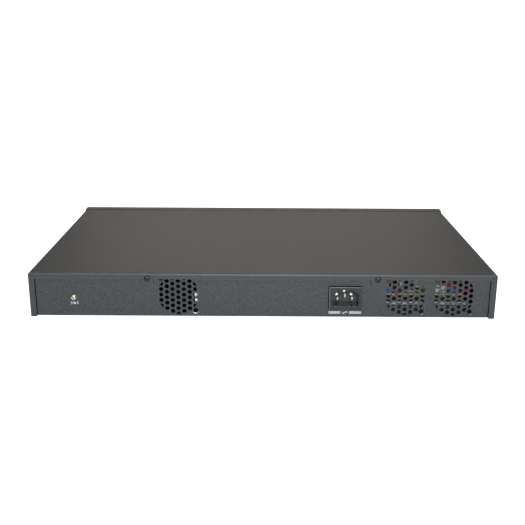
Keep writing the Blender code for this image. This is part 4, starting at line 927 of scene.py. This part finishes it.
def makeDisc(index):
    low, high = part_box(f"safety_capacitor_{index}")
    middle = (low + high) / 2
    radius, half = (high.x - low.x) / 2, (high.y - low.y) / 2
    flat = radius - half * disc["round"]
    rim = [math.pi * (k / 12 - 0.5) for k in range(13)]
    profile = [(0, -half)] + [(flat + half * disc["round"] * math.cos(a), half * math.sin(a)) for a in rim]
    bm = bmesh.new()
    addTurned(bm, profile + [(0, half)], middle, faceIn, 36)
    for v in bm.verts:
        if v.co.z < middle.z - disc["skirt"] * radius:  # skirts down the leads
            v.co.z = max(low.z + 0.2 * mm, v.co.z - 0.1 * mm)
    finishPiece(f"safety_disc_{index}", bm, "blueDip", replaced=[f"safety_capacitor_{index}"])
    for side, word in ((-1, "left"), (1, "right")):
        foot = middle.x + side * disc["leadFoot"]
        tube(f"safety_lead_{index}_{word}",
             [(middle.x + side * disc["leadTop"], middle.y, middle.z - 2.0 * mm),
              (foot, middle.y, low.z + 0.8 * mm), (foot, middle.y, low.z + 0.02 * mm)], disc["lead"],
              "tinned")


for index in (1, 2, 3):
    makeDisc(index)


filterBox = {"rounding": 0.6 * mm, "lift": 0.4 * mm, "rail": 1.2 * mm, "dot": 0.9 * mm,
             "bars": (9.0 * mm, 7.0 * mm, 5.0 * mm), "barPitch": 2.2 * mm, "barHeight": 0.8 * mm}


def makeFilterBox():
    low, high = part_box("line_filter_capacitor")
    bm = bmesh.new()
    addBlock(bm, low + Vector((0, 0, filterBox["lift"])), high, filterBox["rounding"], 3)
    for x in (low.x + 1 * mm, high.x - 1 * mm - filterBox["rail"]):  # feet
        addBlock(bm, (x, low.y + 1 * mm, low.z), (x + filterBox["rail"], high.y - 1 * mm, low.z + 0.9 * mm),
                 0.1 * mm)
    finishPiece("line_filter_case", bm, "yellowCase", replaced=["line_filter_capacitor"])
    bm = bmesh.new()
    dot, face = filterBox["dot"], low.y - 0.04 * mm
    addTurned(bm, [(0, 0), (dot, 0), (dot, 0.05 * mm), (0, 0.05 * mm)],
              (low.x + 2.6 * mm, face, high.z - 2.6 * mm), faceIn, 20)
    for row, length in enumerate(filterBox["bars"]):
        z = high.z - 3 * mm - row * filterBox["barPitch"]
        addBlock(bm, (low.x + 5 * mm, face, z), (low.x + 5 * mm + length, low.y + 0.02 * mm,
                                                 z + filterBox["barHeight"]))
    finishPiece("line_filter_print", bm, "ferrite")


makeFilterBox()


winding = {"cheek": 1.2 * mm, "cornerTape": 3.2 * mm, "cornerCheek": 1.2 * mm,
           "layers": (0.0, 0.25 * mm, 0.1 * mm, 0.3 * mm, 0.15 * mm), "pins": 5, "pinPitch": 2.5 * mm,
           "pin": 0.35 * mm}


def addPlate(bm, middle, width, deep, corner, z0, z1):
    points = roundedOutline(width, deep, corner)
    addPrism(bm, *([(middle.x + x, middle.y + y, z) for x, y in points] for z in (z0, z1)))


def makeTransformer():
    low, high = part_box("transformer_winding")
    middle, cheek = (low + high) / 2, winding["cheek"]
    width, deep = high.x - low.x, high.y - low.y
    step = (high.z - low.z - 2 * cheek) / len(winding["layers"])
    bm = bmesh.new()
    for layer, shrink in enumerate(winding["layers"]):  # overlapping turns of tape
        base = low.z + cheek + layer * step
        addPlate(bm, middle, width - 2 * shrink, deep - 2 * shrink, winding["cornerTape"], base,
                 base + step + 0.05 * mm)
    finishPiece("transformer_tape", bm, "creamTape", replaced=["transformer_winding"])
    bm = bmesh.new()
    for base in (low.z, high.z - cheek):
        addPlate(bm, middle, width, deep, winding["cornerCheek"], base, base + cheek)
    finishPiece("transformer_bobbin", bm, "blackPlastic")
    bm = bmesh.new()
    half = winding["pin"]
    for side in (-1, 1):
        for k in range(winding["pins"]):
            x = middle.x + (k - winding["pins"] // 2) * winding["pinPitch"]
            y = middle.y + side * (deep / 2 - 1.2 * mm)
            addBlock(bm, (x - half, y - half, supplyTop), (x + half, y + half, low.z), 0.1 * mm)
    finishPiece("transformer_pins", bm, "tinned")


makeTransformer()


header = {"rounding": 0.25 * mm, "margin": 0.8 * mm, "slot": 0.34, "well": 0.3, "lip": 2.2 * mm,
          "contact": 0.2 * mm}


def makeHeader(name, node, ways):
    low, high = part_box(node)
    pitch = (high.x - low.x - 2 * header["margin"]) / ways
    places = [low.x + header["margin"] + (k + 0.5) * pitch for k in range(ways)]
    half, well, y = header["slot"] * pitch, header["well"] * pitch, (low.y + high.y) / 2
    bm = bmesh.new()
    addBlock(bm, low, high, header["rounding"])
    housing = finishPiece(name, bm, "whiteNylon", replaced=[node])
    bm = bmesh.new()
    for x in places:
        addBlock(bm, (x - half, low.y - 1 * mm, low.z + header["lip"]),
                 (x + half, low.y + 1.1 * mm, high.z - 1 * mm))
        addBlock(bm, (x - well, y - well, high.z - 2 * mm), (x + well, y + well, high.z + 1 * mm))
    cutShape(housing, bm)
    bm = bmesh.new()
    for x in places:
        addBlock(bm, (x - header["contact"], low.y + 0.5 * mm, low.z + header["lip"] + 0.2 * mm),
                 (x + header["contact"], low.y + 1.0 * mm, high.z - 1.2 * mm), 0.08 * mm)
    finishPiece(name + "_contacts", bm, "tinned")


makeHeader("spare_fan_housing", "spare_fan_header", 3)
makeHeader("mains_terminal_housing", "mains_terminal", 3)
makeHeader("fan_plug_housing", "fan_plug", 2)


sink = {"rounding": 0.2 * mm, "grooves": 7, "grooveStart": 7.0 * mm, "groovePitch": 2.0 * mm,
        "grooveWidth": 1.0 * mm, "grooveDepth": 0.8 * mm, "transistors": (12.0 * mm, 30.0 * mm, 50.0 * mm),
        "case": (10.0 * mm, 9.0 * mm, 4.3 * mm), "caseLift": 3.0 * mm, "tab": 7.0 * mm, "legPitch": 2.5 * mm}


def makeTransistor(number, seat, y, low):
    wide, tall, deep = sink["case"]
    base = low.z + sink["caseLift"]
    bm = bmesh.new()
    addBlock(bm, (seat, y - wide / 2, base), (seat + deep, y + wide / 2, base + tall), 0.3 * mm)
    addTurned(bm, [(0, 0), (2.2 * mm, 0), (2.6 * mm, 0.5 * mm), (2.6 * mm, 1.6 * mm), (0, 1.7 * mm)],
              (seat, y, base + tall + sink["tab"] / 2), (1, 0, 0), 24)
    finishPiece(f"supply_transistor_{number}", bm, "blackPlastic")
    bm = bmesh.new()
    addBlock(bm, (seat, y - wide / 2, base + tall),
             (seat + 1.2 * mm, y + wide / 2, base + tall + sink["tab"]),
             0.2 * mm)
    for side in (-1, 0, 1):
        leg = y + side * sink["legPitch"]
        addBlock(bm, (seat + 1.7 * mm, leg - 0.4 * mm, low.z),
                 (seat + 2.3 * mm, leg + 0.4 * mm, base + 0.2 * mm),
                 0.1 * mm)
    finishPiece(f"supply_transistor_{number}_tab", bm, "tinned")


def makeSupplyHeatsink():
    low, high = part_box("supply_heatsink")
    bm = bmesh.new()
    addBlock(bm, low, high, sink["rounding"])
    plate = finishPiece("supply_heatsink_plate", bm, "aluminium", replaced=["supply_heatsink"])
    bm = bmesh.new()
    for k in range(sink["grooves"]):
        z = low.z + sink["grooveStart"] + k * sink["groovePitch"]
        addBlock(bm, (low.x - 1 * mm, low.y - 1 * mm, z),
                 (low.x + sink["grooveDepth"], high.y + 1 * mm, z + sink["grooveWidth"]))
    cutShape(plate, bm)
    for k, along in enumerate(sink["transistors"]):
        makeTransistor(k + 1, high.x + 0.1 * mm, low.y + along, low)


makeSupplyHeatsink()


resistor = {"radius": 1.1 * mm, "waist": 0.95 * mm, "half": 3.0 * mm, "lift": 1.5 * mm, "span": 3.6 * mm,
            "lead": 0.25 * mm,
            "places": ((113.0, -77.0, 0, "blueDip"), (128.0, -86.0, 90, "ferrite"),
                       (146.5, -93.5, 0, "greySleeve"),
                       (158.0, -93.0, 0, "tanBoard"), (169.0, -84.0, 90, "ferrite"))}


def makeResistor(number, x, y, spin, look):
    axis = Vector((math.cos(math.radians(spin)), math.sin(math.radians(spin)), 0))
    middle = Vector((x * mm, y * mm, supplyTop + resistor["lift"]))
    fat, waist, half = resistor["radius"], resistor["waist"], resistor["half"]
    side = [(0, half), (0.82 * fat, 0.97 * half), (fat, 0.8 * half), (fat, 0.6 * half), (waist, 0.45 * half)]
    bm = bmesh.new()
    addTurned(bm, [(r, -h) for r, h in side] + side[::-1], middle, axis, 20)
    finishPiece(f"supply_resistor_{number}", bm, look)
    bm = bmesh.new()
    thin = resistor["lead"]
    for end in (-1, 1):
        foot, root = middle + axis * end * resistor["span"], middle + axis * end * 0.9 * half
        addBlock(bm, (foot.x - thin, foot.y - thin, supplyTop),
                 (foot.x + thin, foot.y + thin, foot.z + thin), 0.1 * mm)
        addBlock(bm, (min(foot.x, root.x) - thin, min(foot.y, root.y) - thin, foot.z - thin),
                 (max(foot.x, root.x) + thin, max(foot.y, root.y) + thin, foot.z + thin), 0.1 * mm)
    finishPiece(f"supply_resistor_{number}_leads", bm, "tinned")


for number, (x, y, spin, look) in enumerate(resistor["places"], 1):
    makeResistor(number, x, y, spin, look)

smallCans = ((176.0, -80.0, 4.0, 11.0), (186.0, -78.0, 3.2, 9.0), (172.0, -60.0, 5.0, 16.0),
             (184.0, -60.0, 5.0, 16.0), (150.0, 8.0, 5.0, 18.0),
             (164.0, 8.0, 5.0, 18.0))  # x, y, radius, height
for number, (x, y, radius, height) in enumerate(smallCans, 1):
    bm = bmesh.new()
    addCan(bm, x * mm, y * mm, supplyTop, radius * mm, height * mm, 28)
    finishPiece(f"supply_can_{number}", bm, "greySleeve" if number % 2 else "blackSleeve")

choke = {"place": (125.0 * mm, -64.0 * mm), "lift": 6.6 * mm, "ring": 5.2 * mm, "half": 3.0 * mm,
         "turns": 13, "steps": 12, "sweep": 120, "loop": (1.9 * mm, 3.6 * mm), "wire": 0.4 * mm}


def makeChoke():
    ring = Vector((*choke["place"], supplyTop + choke["lift"]))
    near, far, half = choke["ring"] - 1.2 * mm, choke["ring"] + 1.2 * mm, choke["half"]
    bm = bmesh.new()
    addTurned(bm, [(near, -half), (far - 0.2 * mm, -half), (far, 0), (far - 0.2 * mm, half), (near, half),
                   (near - 0.2 * mm, 0), (near, -half)], ring, faceIn, 36)
    bmesh.ops.remove_doubles(bm, verts=bm.verts, dist=1e-6)
    finishPiece("choke_core", bm, "ferrite")
    route = []
    count = choke["turns"] * choke["steps"]
    for k in range(count + 1):
        along = math.radians(choke["sweep"] * (k / count - 0.5))
        around = 2 * math.pi * k / choke["steps"]
        radius = choke["ring"] + choke["loop"][0] * math.cos(around)
        route.append(ring + Vector((radius * math.sin(along), choke["loop"][1] * math.sin(around),
                                    radius * math.cos(along))))
    tube("choke_winding", route, choke["wire"], "ferrite")


makeChoke()

edging = {"proud": 0.12 * mm, "land": 2.6 * mm, "hem": 0.15 * mm}


def makeEdging():
    low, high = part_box("supply_board")
    # the board's front edge and a narrow land along its top in a paler tan: partly the paler routed edge,
    # partly painted highlight
    bm = bmesh.new()
    addBlock(bm, (low.x, low.y - edging["proud"], low.z + 0.05 * mm),
             (high.x, low.y + 0.3 * mm, high.z - 0.05 * mm), 0.05 * mm)
    addBlock(bm, (low.x, low.y + 0.3 * mm, high.z - 0.1 * mm),
             (high.x, low.y + edging["land"], high.z + 0.06 * mm), 0.03 * mm)
    finishPiece("supply_board_edge", bm, "routedEdgeAndHighlight")
    # the insulator's front hem in the film's milky colour, the lit edge of the painted-shade film
    low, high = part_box("supply_insulator")
    bm = bmesh.new()
    addBlock(bm, (low.x, low.y - edging["hem"], low.z), (high.x, low.y + 0.1 * mm, high.z + 0.2 * mm),
             0.05 * mm)
    finishPiece("insulator_hem", bm, "milky")


makeEdging()
print("supply parts ready")


# painted shade along the seams round the rear panel

seamShade = {"lipEdge": 214.5 * mm, "lipBottom": 38.0 * mm, "foot": 1.2 * mm, "side": 0.7 * mm, "top": 0.35 * mm,
        "thick": 0.25 * mm, "rounding": 0.08 * mm, "tabDrop": 4.6 * mm,
        "tabs": ((-114.1 * mm, -102.9 * mm), (102.4 * mm, 113.6 * mm))}


def makeSeams():
    edge, bottom, top, tabs = seamShade["lipEdge"], seamShade["lipBottom"], seamShade["top"], seamShade["tabs"]
    tabFoot = bottom - seamShade["tabDrop"]
    strips = [(side * edge, side * (edge - seamShade["side"]), seamShade["foot"], bottom) for side in (-1, 1)]
    for low, high in ((-edge, tabs[0][0]), (tabs[0][1], tabs[1][0]), (tabs[1][1], edge)):
        strips.append((low, high, bottom - top, bottom))
    for low, high in tabs:
        strips += [(low - top, low, tabFoot - top, bottom), (high, high + top, tabFoot - top, bottom),
                   (low, high, tabFoot - top, tabFoot)]
    # painted shade: near-black strips beside the side lips, under the rear lip and round its tabs
    bm = bmesh.new()
    for x0, x1, z0, z1 in strips:
        addSpan(bm, (x0, x1), (panelY - seamShade["thick"], panelY - 0.01 * mm), (z0, z1), seamShade["rounding"])
    finishPiece("rear_seam_painted_shade", bm, "fanPlasticAndShade")


makeSeams()

gleam = {"z": 6.3 * mm, "radius": 3.0 * mm, "wide": 0.5 * mm, "proud": 0.02 * mm, "deep": 0.45 * mm,
         "steps": 14,
         "holes": ((-63.6, -155, -20, "sinkHighlight"), (150.7, -150, -30, "dimSinkHighlight"),
                   (196.5, -150, -30, "dimSinkHighlight"))}  # x in mm, first and last angle


def makeSinkGleam(number, x, start, end, look):
    # painted highlight: a pale crescent on the lower side of a countersink
    turns = [math.radians(start + (end - start) * k / gleam["steps"]) for k in range(gleam["steps"] + 1)]
    bm = bmesh.new()
    rows = [[bm.verts.new((x * mm + r * math.cos(a), y, gleam["z"] + r * math.sin(a))) for a in turns]
            for r, y in ((gleam["radius"], panelY - gleam["proud"]),
                         (gleam["radius"] - gleam["wide"], panelY + gleam["deep"]))]
    for k in range(gleam["steps"]):
        bm.faces.new((rows[0][k], rows[0][k + 1], rows[1][k + 1], rows[1][k]))
    finishPiece(f"sink_gleam_{number}", bm, look)


for number, hole in enumerate(gleam["holes"], 1):
    makeSinkGleam(number, *hole)
print("seams ready")


# network ports

port = {"pitch": 14.0 * mm, "row": 12.6 * mm, "mouth": (11.8 * mm, 8.4 * mm), "depth": 14.0 * mm,
        "notch": 3.0 * mm, "liner": 0.35 * mm, "gap": 0.02 * mm, "setBack": (0.5 * mm, 1.2 * mm),
        "tray": 1.0 * mm,
        "linerEdge": 0.06 * mm, "contactPitch": 1.02 * mm, "comb": (0.13 * mm, 9.5 * mm, 2.4 * mm, 0.9 * mm),
        "contact": (0.42 * mm, 7.0 * mm, 0.3 * mm), "contactAt": (6.2 * mm, 1.2 * mm),
        "contactRise": 2.7 * mm,
        "contactEdge": 0.07 * mm, "rim": (0.45 * mm, 0.4 * mm, 0.14 * mm, 0.05 * mm),
        "lampAt": (4.6 * mm, 1.1 * mm), "lamp": (1.2 * mm, 0.55 * mm, 0.12 * mm),
        "lampDepth": (1 * mm, 0.16 * mm),
        "seamHalf": (0.12 * mm, 0.1 * mm), "seamEnd": 0.6 * mm}


def addPort(parts, x, z, face, latch):
    w, h = port["mouth"][0] / 2, port["mouth"][1] / 2
    gap, back, edge, tray = port["gap"], face - port["depth"] + port["gap"], port["linerEdge"], port["tray"]
    liner = parts["liner"]
    roof, floorZ = z + latch * (h - gap), z - latch * (h - gap)
    sides = (back, face - port["setBack"][0])
    for side in (-1, 1):  # side walls and the ledges beside the latch
        outer = x + side * (w - gap)
        addSpan(liner, (outer, outer - side * port["liner"]), sides, (z - h + gap, z + h - gap), edge)
        addSpan(liner, (outer, x + side * port["notch"]), sides, (roof, roof - latch * port["liner"]), edge)
    foot = floorZ + latch * tray
    addSpan(liner, (x - w + gap, x + w - gap), (back, face - port["setBack"][1]), (floorZ, foot), edge)
    addSpan(liner, (x - w + gap, x + w - gap), (back, face - port["depth"] + tray),
            (z - h + gap, z + h - gap))
    half, inner, outer, tall = port["comb"]
    for k in range(9):  # comb between the contacts
        cx = x + (k - 4) * port["contactPitch"]
        addSpan(liner, (cx - half, cx + half), (face - inner, face - outer), (foot, foot + latch * tall))
    for k in range(8):
        spot = (x + (k - 3.5) * port["contactPitch"], face - port["contactAt"][0],
                floorZ + latch * port["contactAt"][1])
        strip = addSpring(parts["contact"], spot, port["contact"], latch * port["contactRise"])
        roundEdges(parts["contact"], strip, port["contactEdge"], 1)
    wide, tall, proud, edge = port["rim"]
    for side in (-1, 1):  # stamped border
        addSpan(parts["rim"], (x + side * w, x + side * (w + wide)), (face, face + proud),
                (z - h - tall, z + h + tall), edge)
    addSpan(parts["rim"], (x - w, x + w), (face, face + proud), (z - latch * h, z - latch * (h + tall)), edge)
    wide, tall, edge = port["lamp"]
    for side in (-1, 1):
        lampX, lampZ = x + side * port["lampAt"][0], z + latch * (h + port["lampAt"][1])
        addSpan(parts["green" if side * latch > 0 else "amber"], (lampX - wide, lampX + wide),
                (face - port["lampDepth"][0], face + port["lampDepth"][1]), (lampZ - tall, lampZ + tall),
                edge)


def makePorts(name, node, columns, rows):
    low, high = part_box(node)
    face, end = high.y, port["seamEnd"]
    parts = {key: bmesh.new() for key in ("liner", "contact", "rim", "green", "amber")}
    start = low.x + (high.x - low.x - columns * port["pitch"]) / 2
    for column in range(columns):
        for row in range(rows):
            addPort(parts, start + (column + 0.5) * port["pitch"], low.z + (row + 0.5) * port["row"], face,
                    1 if row == 1 else -1)
    for key, look, slotName in (("liner", "blackPlastic", "black_plastic"), ("contact", "gold", "brass"),
                                ("rim", "portShield", "tinned_steel"),
                                ("green", "greenLamp", "clear_acrylic"),
                                ("amber", "amberLamp", "clear_acrylic")):
        finishPiece(f"{name}_{key}", parts[key], look)
    if columns == 1:
        return
    seams = bmesh.new()  # folds between the shield's columns and rows
    for column in range(1, columns):
        x, half = start + column * port["pitch"], port["seamHalf"][0]
        addBlock(seams, (x - half, face - 0.02 * mm, low.z + end), (x + half, face + 0.03 * mm, high.z - end))
    z, half = low.z + port["row"], port["seamHalf"][1]
    addBlock(seams, (low.x + end, face - 0.02 * mm, z - half), (high.x - end, face + 0.02 * mm, z + half))
    finishPiece(f"{name}_seams", seams, "ferrite")


for index in (1, 2, 3):
    makePorts(f"ports_{index}", f"port_block_{index}", 4, 2)
makePorts("console", "console_jack", 1, 1)
print("ports ready")


# module cage

cage = {"mouth": (13.8 * mm, 8.8 * mm), "wall": 0.8 * mm, "rim": (0.3 * mm, 0.2 * mm, 0.05 * mm),
        "fingers": 4,
        "finger": (2.2 * mm, 5.6 * mm, 0.14 * mm), "fingerAt": (3.6 * mm, 0.25 * mm), "fingerRise": 0.5 * mm,
        "bodies": ((1.6, 42, 34, 0.6, 6.2, 0.3), (2.4, 34.4, 33, 1.0, 2.2, 0.1),
                   (2.4, 34.4, 33, 4.2, 5.4, 0.1)),
        "contacts": 10, "contactStart": 2.9 * mm, "contactPitch": 0.88 * mm,
        "contactRows": (2.3 * mm, 3.8 * mm),
        "contact": (0.2 * mm, 34 * mm, 33.2 * mm, 0.3 * mm)}


def addCageMouth(parts, x0, z0, face):
    x1, z1 = x0 + cage["mouth"][0], z0 + cage["mouth"][1]
    wide, proud, edge = cage["rim"]
    for a, b, c, d in ((x0 - wide, x0, z0, z1), (x1, x1 + wide, z0, z1),
                       (x0 - wide, x1 + wide, z1, z1 + wide), (x0 - wide, x1 + wide, z0 - wide, z0)):
        addBlock(parts["rims"], (a, face, c), (b, face + proud, d), edge)
    for k in range(cage["fingers"]):  # bowed earthing fingers
        x = x0 + (k + 0.5) * cage["mouth"][0] / cage["fingers"]
        for z, sign in ((z0, 1), (z1, -1)):
            addSpring(parts["springs"], (x, face - cage["fingerAt"][0], z + sign * cage["fingerAt"][1]),
                      cage["finger"], sign * cage["fingerRise"])
    for inset, back, front, low, high, edge in cage["bodies"]:
        addBlock(parts["connectors"], (x0 + inset * mm, face - back * mm, z0 + low * mm),
                 (x1 - inset * mm, face - front * mm, z0 + high * mm), edge * mm)
    half, back, front, tall = cage["contact"]
    for k in range(cage["contacts"]):
        x = x0 + cage["contactStart"] + k * cage["contactPitch"]
        for row in cage["contactRows"]:
            addBlock(parts["contacts"], (x - half, face - back, z0 + row),
                     (x + half, face - front, z0 + row + tall))


def makeCage():
    low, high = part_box("module_cage")
    wall, (width, height) = cage["wall"], cage["mouth"]
    parts = {key: bmesh.new() for key in ("rims", "springs", "connectors", "contacts")}
    for column in range(2):
        for row in range(2):
            addCageMouth(parts, low.x + wall + column * (width + wall),
                         low.z + wall + row * (height + 3 * wall),
                         high.y)
    for key, look, slotName in (("rims", "portShield", "tinned_steel"), ("springs", "gold", "brass"),
                                ("connectors", "blackPlastic", "black_plastic"),
                                ("contacts", "gold", "brass")):
        finishPiece("cage_" + key, parts[key], look)


makeCage()
print("module cage ready")


# front panel print

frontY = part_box("front_bezel")[1].y
label = {"size": 2.6 * mm, "away": 2.4 * mm, "thick": 0.02 * mm, "portEdge": 0.5 * mm, "cageEdge": 7.7 * mm,
         "cagePitch": 14.6 * mm}


def frontText(bm, text, x, z):
    curve = bpy.data.curves.new("figure", "FONT")
    curve.body, curve.size = text, label["size"]
    curve.align_x, curve.align_y, curve.extrude = "CENTER", "CENTER", label["thick"]
    mesh = meshFrom(curve)
    mesh.transform(Matrix.Translation((x, frontY, z)) @ Matrix.Rotation(math.pi, 4, "Z")
                   @ Matrix.Rotation(math.pi / 2, 4, "X"))
    bm.from_mesh(mesh)
    bpy.data.meshes.remove(mesh)


def makeFrontNumbers():
    bm = bmesh.new()
    rows = [(f"port_block_{index + 1}", 8 * index + 1, 4, label["portEdge"] + port["pitch"] / 2,
             port["pitch"])
            for index in range(3)] + [("module_cage", 25, 2, label["cageEdge"], label["cagePitch"])]
    for node, first, columns, edge, pitch in rows:
        low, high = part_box(node)
        for column in range(columns):
            x, number = high.x - edge - column * pitch, first + 2 * column
            frontText(bm, str(number), x, high.z + label["away"])
            frontText(bm, str(number + 1), x, low.z - label["away"])
    finishPiece("front_numbers", bm, "ink")


makeFrontNumbers()

mark = {"power": (80.5, 27.0), "powerRing": 1.2, "powerStem": (0.3, 1.6), "activity": (80.5, 20.5),
        "pulse": ((1.5, 0), (0.5, 0), (0, 1.1), (-0.5, -1.1), (-1.0, 0), (-1.6, 0)),
        "reset": (84.0, 14.0), "resetRing": 3.0, "ruleAway": 4.4 * mm, "ruleEnd": 1 * mm, "line": 0.25 * mm,
        "boldLine": 0.3 * mm, "fineLine": 0.2 * mm, "sunk": 0.01 * mm, "thick": 0.04 * mm}


def ringPoints(centre, radius, start, end, step):
    turns = [math.radians(a) for a in range(start, end, step)]
    return [((centre[0] + radius * math.cos(a)) * mm, (centre[1] + radius * math.sin(a)) * mm) for a in turns]


def makeFrontMarks():
    power, activity = mark["power"], mark["activity"]
    low, high = mark["powerStem"]
    strokes = [(ringPoints(power, mark["powerRing"], 90, 421, 30), mark["line"]),
               ([(power[0] * mm, (power[1] + rise) * mm) for rise in (low, high)], mark["boldLine"]),
               ([((activity[0] + x) * mm, (activity[1] + z) * mm) for x, z in mark["pulse"]], mark["line"]),
               (ringPoints(mark["reset"], mark["resetRing"], 0, 361, 15), mark["fineLine"])]
    for index in (1, 2, 3):  # rules that bracket each block
        low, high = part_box(f"port_block_{index}")
        for z in (high.z + mark["ruleAway"], low.z - mark["ruleAway"]):
            strokes.append(([(low.x + mark["ruleEnd"], z), (high.x - mark["ruleEnd"], z)], mark["fineLine"]))
    bm = bmesh.new()
    for points, width in strokes:
        addStroke(bm, points, width, frontY - mark["sunk"], mark["thick"])
    finishPiece("front_marks", bm, "ink")


makeFrontMarks()


plate = {"centre": (170.0 * mm, 22.0 * mm), "size": (54.0 * mm, 14.0 * mm), "corner": 2.0 * mm,
         "sunk": 0.1 * mm,
         "thick": 0.35 * mm, "edge": 0.12 * mm, "trim": (216.0 * mm, 1.6 * mm, 2.4 * mm),
         "trimDepth": (0.05 * mm, 0.12 * mm)}


def makeBlankPlate():
    x, z = plate["centre"]
    bm = bmesh.new()
    addOutline(bm, roundedOutline(*plate["size"], plate["corner"]), plate["thick"],
               (x, frontY - plate["sunk"], z))
    edges = [e for e in bm.edges if all(v.co.y > frontY + 0.2 * mm for v in e.verts)]
    bmesh.ops.bevel(bm, geom=edges, offset=plate["edge"], segments=2, profile=0.5, affect="EDGES")
    finishPiece("blank_plate", bm, "satinPlate")
    half, z0, z1 = plate["trim"]
    sunk, proud = plate["trimDepth"]
    bm = bmesh.new()
    addBlock(bm, (-half, frontY - sunk, z0), (half, frontY + proud, z1), 0.1 * mm)
    finishPiece("front_trim", bm, "satinPlate")


makeBlankPlate()
print("front panel ready")


# printed symbols

symbol = {"proud": 0.03 * mm, "inletZ": 5.2, "wave": (2.4, 0.9, 8), "waveLine": 0.55 * mm,
          "rules": (4.2, 15.5), "ruleRows": (-0.9, 0.0, 0.9), "ruleLine": 0.38 * mm,
          "earth": (-178.0, 13.5), "stem": (1.3, 0.2), "stemLine": 0.45 * mm,
          "bars": ((0.2, 1.5), (-0.5, 0.95), (-1.15, 0.4)), "barLine": 0.42 * mm,
          "ticks": (2.1, 3.5), "tickRows": (-0.8, 0.8), "tickLine": 0.5 * mm}


def makeSymbol(name, x, z, strokes):
    # strokes are (points in mm from x and z, width)
    bm = bmesh.new()
    for points, width in strokes:
        addStroke(bm, [((x + dx) * mm, (z + dz) * mm) for dx, dz in points], width, panelY - symbol["proud"],
                  symbol["proud"])
    finishPiece(name, bm, "ink")


def pairedRules(ends, rows, width):
    return [([(side * ends[0], row), (side * ends[1], row)], width) for side in (-1, 1) for row in rows]


def makeSymbols():
    half, tall, steps = symbol["wave"]
    wave = [(half * t / steps, tall * math.sin(math.pi * t / steps)) for t in range(-steps, steps + 1)]
    makeSymbol("inlet_symbol", inlet["x"] / mm, symbol["inletZ"], [(wave, symbol["waveLine"])]
               + pairedRules(symbol["rules"], symbol["ruleRows"], symbol["ruleLine"]))
    makeSymbol("earth_symbol", *symbol["earth"],
               [([(0, rise) for rise in symbol["stem"]], symbol["stemLine"])]
               + [([(-wide, row), (wide, row)], symbol["barLine"]) for row, wide in symbol["bars"]]
               + pairedRules(symbol["ticks"], symbol["tickRows"], symbol["tickLine"]))


makeSymbols()
print("symbols ready")


# floor, light and camera

studio = {"floorHalf": 30.0, "floorZ": -0.05 * mm, "floorColor": (0.92, 0.92, 0.92, 1),
          "floorGlow": (0.05, 1.0),
          "background": (1, 1, 1, 1), "ambient": (0.95, 0.97, 1.0, 1), "ambientPower": 0.13}
material, tree, shader = newMaterial("floor_paper")
base = useGroup(tree, mottle, (-300, 100), {
    "Color": studio["floorColor"], "Scale": 1.5, "Swing": 0.01, "Roughness": 0.9, "Roughness Swing": 0.02})
seen = put(tree, "LightPath", (-100, -400)).outputs["Is Camera Ray"]
glow = ranged(tree, (200, -300), seen, 0.0, 1.0, *studio["floorGlow"])
feed(tree, shader.inputs, {
    "Base Color": base["Color"], "Roughness": base["Roughness"], "Specular IOR Level": 0.0,
    "Emission Color": base["Color"], "Emission Strength": glow})
floor = bpy.data.objects.new("floor", bpy.data.meshes.new("floor"))
bm = bmesh.new()
bmesh.ops.create_grid(bm, x_segments=1, y_segments=1, size=studio["floorHalf"])
bm.to_mesh(floor.data)
bm.free()
floor.data.materials.append(material)
floor.location.z = studio["floorZ"]
scene.collection.objects.link(floor)

scene.world = bpy.data.worlds.new("studio")
scene.world.use_nodes = True
tree = scene.world.node_tree
tree.nodes.clear()
seen = put(tree, "LightPath", (-500, 200)).outputs["Is Camera Ray"]
bright = put(tree, "Background", (-250, 100), {"Color": studio["background"], "Strength": 1.0})
dim = put(tree, "Background", (-250, -100), {"Color": studio["ambient"], "Strength": studio["ambientPower"]})
mixed = put(tree, "MixShader", (0, 0), {0: seen, 1: dim.outputs[0], 2: bright.outputs[0]})
put(tree, "OutputWorld", (220, 0), {"Surface": mixed.outputs[0]})


def softLight(name, look):
    data = bpy.data.lights.new(name, "AREA")
    data.shape, data.size, data.size_y = "RECTANGLE", look["width"], look["height"]
    data.energy, data.color = look["power"], look["color"]
    lamp = bpy.data.objects.new(name, data)
    lamp.location = look["place"]
    aim = Vector(look["target"]) - Vector(look["place"])
    lamp.rotation_euler = aim.to_track_quat("-Z", "Y").to_euler()
    scene.collection.objects.link(lamp)


softLight("overhead", {"place": (0.0, 0.5, 1.9), "target": (0, 0.1, 0), "width": 1.6, "height": 1.2,
                       "power": 7.8, "color": (1.0, 0.91, 0.78)})
softLight("behind", {"place": (0.0, 2.2, 0.8), "target": (0, 0, 0.04), "width": 1.5, "height": 0.5,
                     "power": 2.9, "color": (1.0, 0.90, 0.77)})
softLight("fold_strip", {"place": (0.0, -0.5, 1.3), "target": (0, -0.13, 0.04), "width": 1.7, "height": 0.12,
                         "power": 8.0, "color": (0.96, 0.97, 1.0)})
softLight("rear_fill", {"place": (0.04, -1.15, 0.42), "target": (0.03, 0, 0), "width": 0.45, "height": 0.3,
                        "power": 12.6, "color": (0.86, 0.95, 1.0)})

view = {"place": (0.00096, -0.8414, 0.2735), "pitch": 17.17, "yaw": -0.10, "roll": 0.28, "sensor": 36.0,
        "lens": 36.0 * 796.0 / 525.0, "clip": (0.01, 100.0)}
camera = bpy.data.objects.new("camera", bpy.data.cameras.new("camera"))
camera.data.sensor_width, camera.data.lens = view["sensor"], view["lens"]
camera.data.clip_start, camera.data.clip_end = view["clip"]
camera.matrix_world = (Matrix.Translation(view["place"])
                       @ Matrix.Rotation(math.radians(-view["yaw"]), 4, "Z")
                       @ Matrix.Rotation(math.radians(90 - view["pitch"]), 4, "X")
                       @ Matrix.Rotation(math.radians(view["roll"]), 4, "Z"))
scene.collection.objects.link(camera)
scene.camera = camera
scene.view_settings.view_transform = "Standard"
print("studio ready")
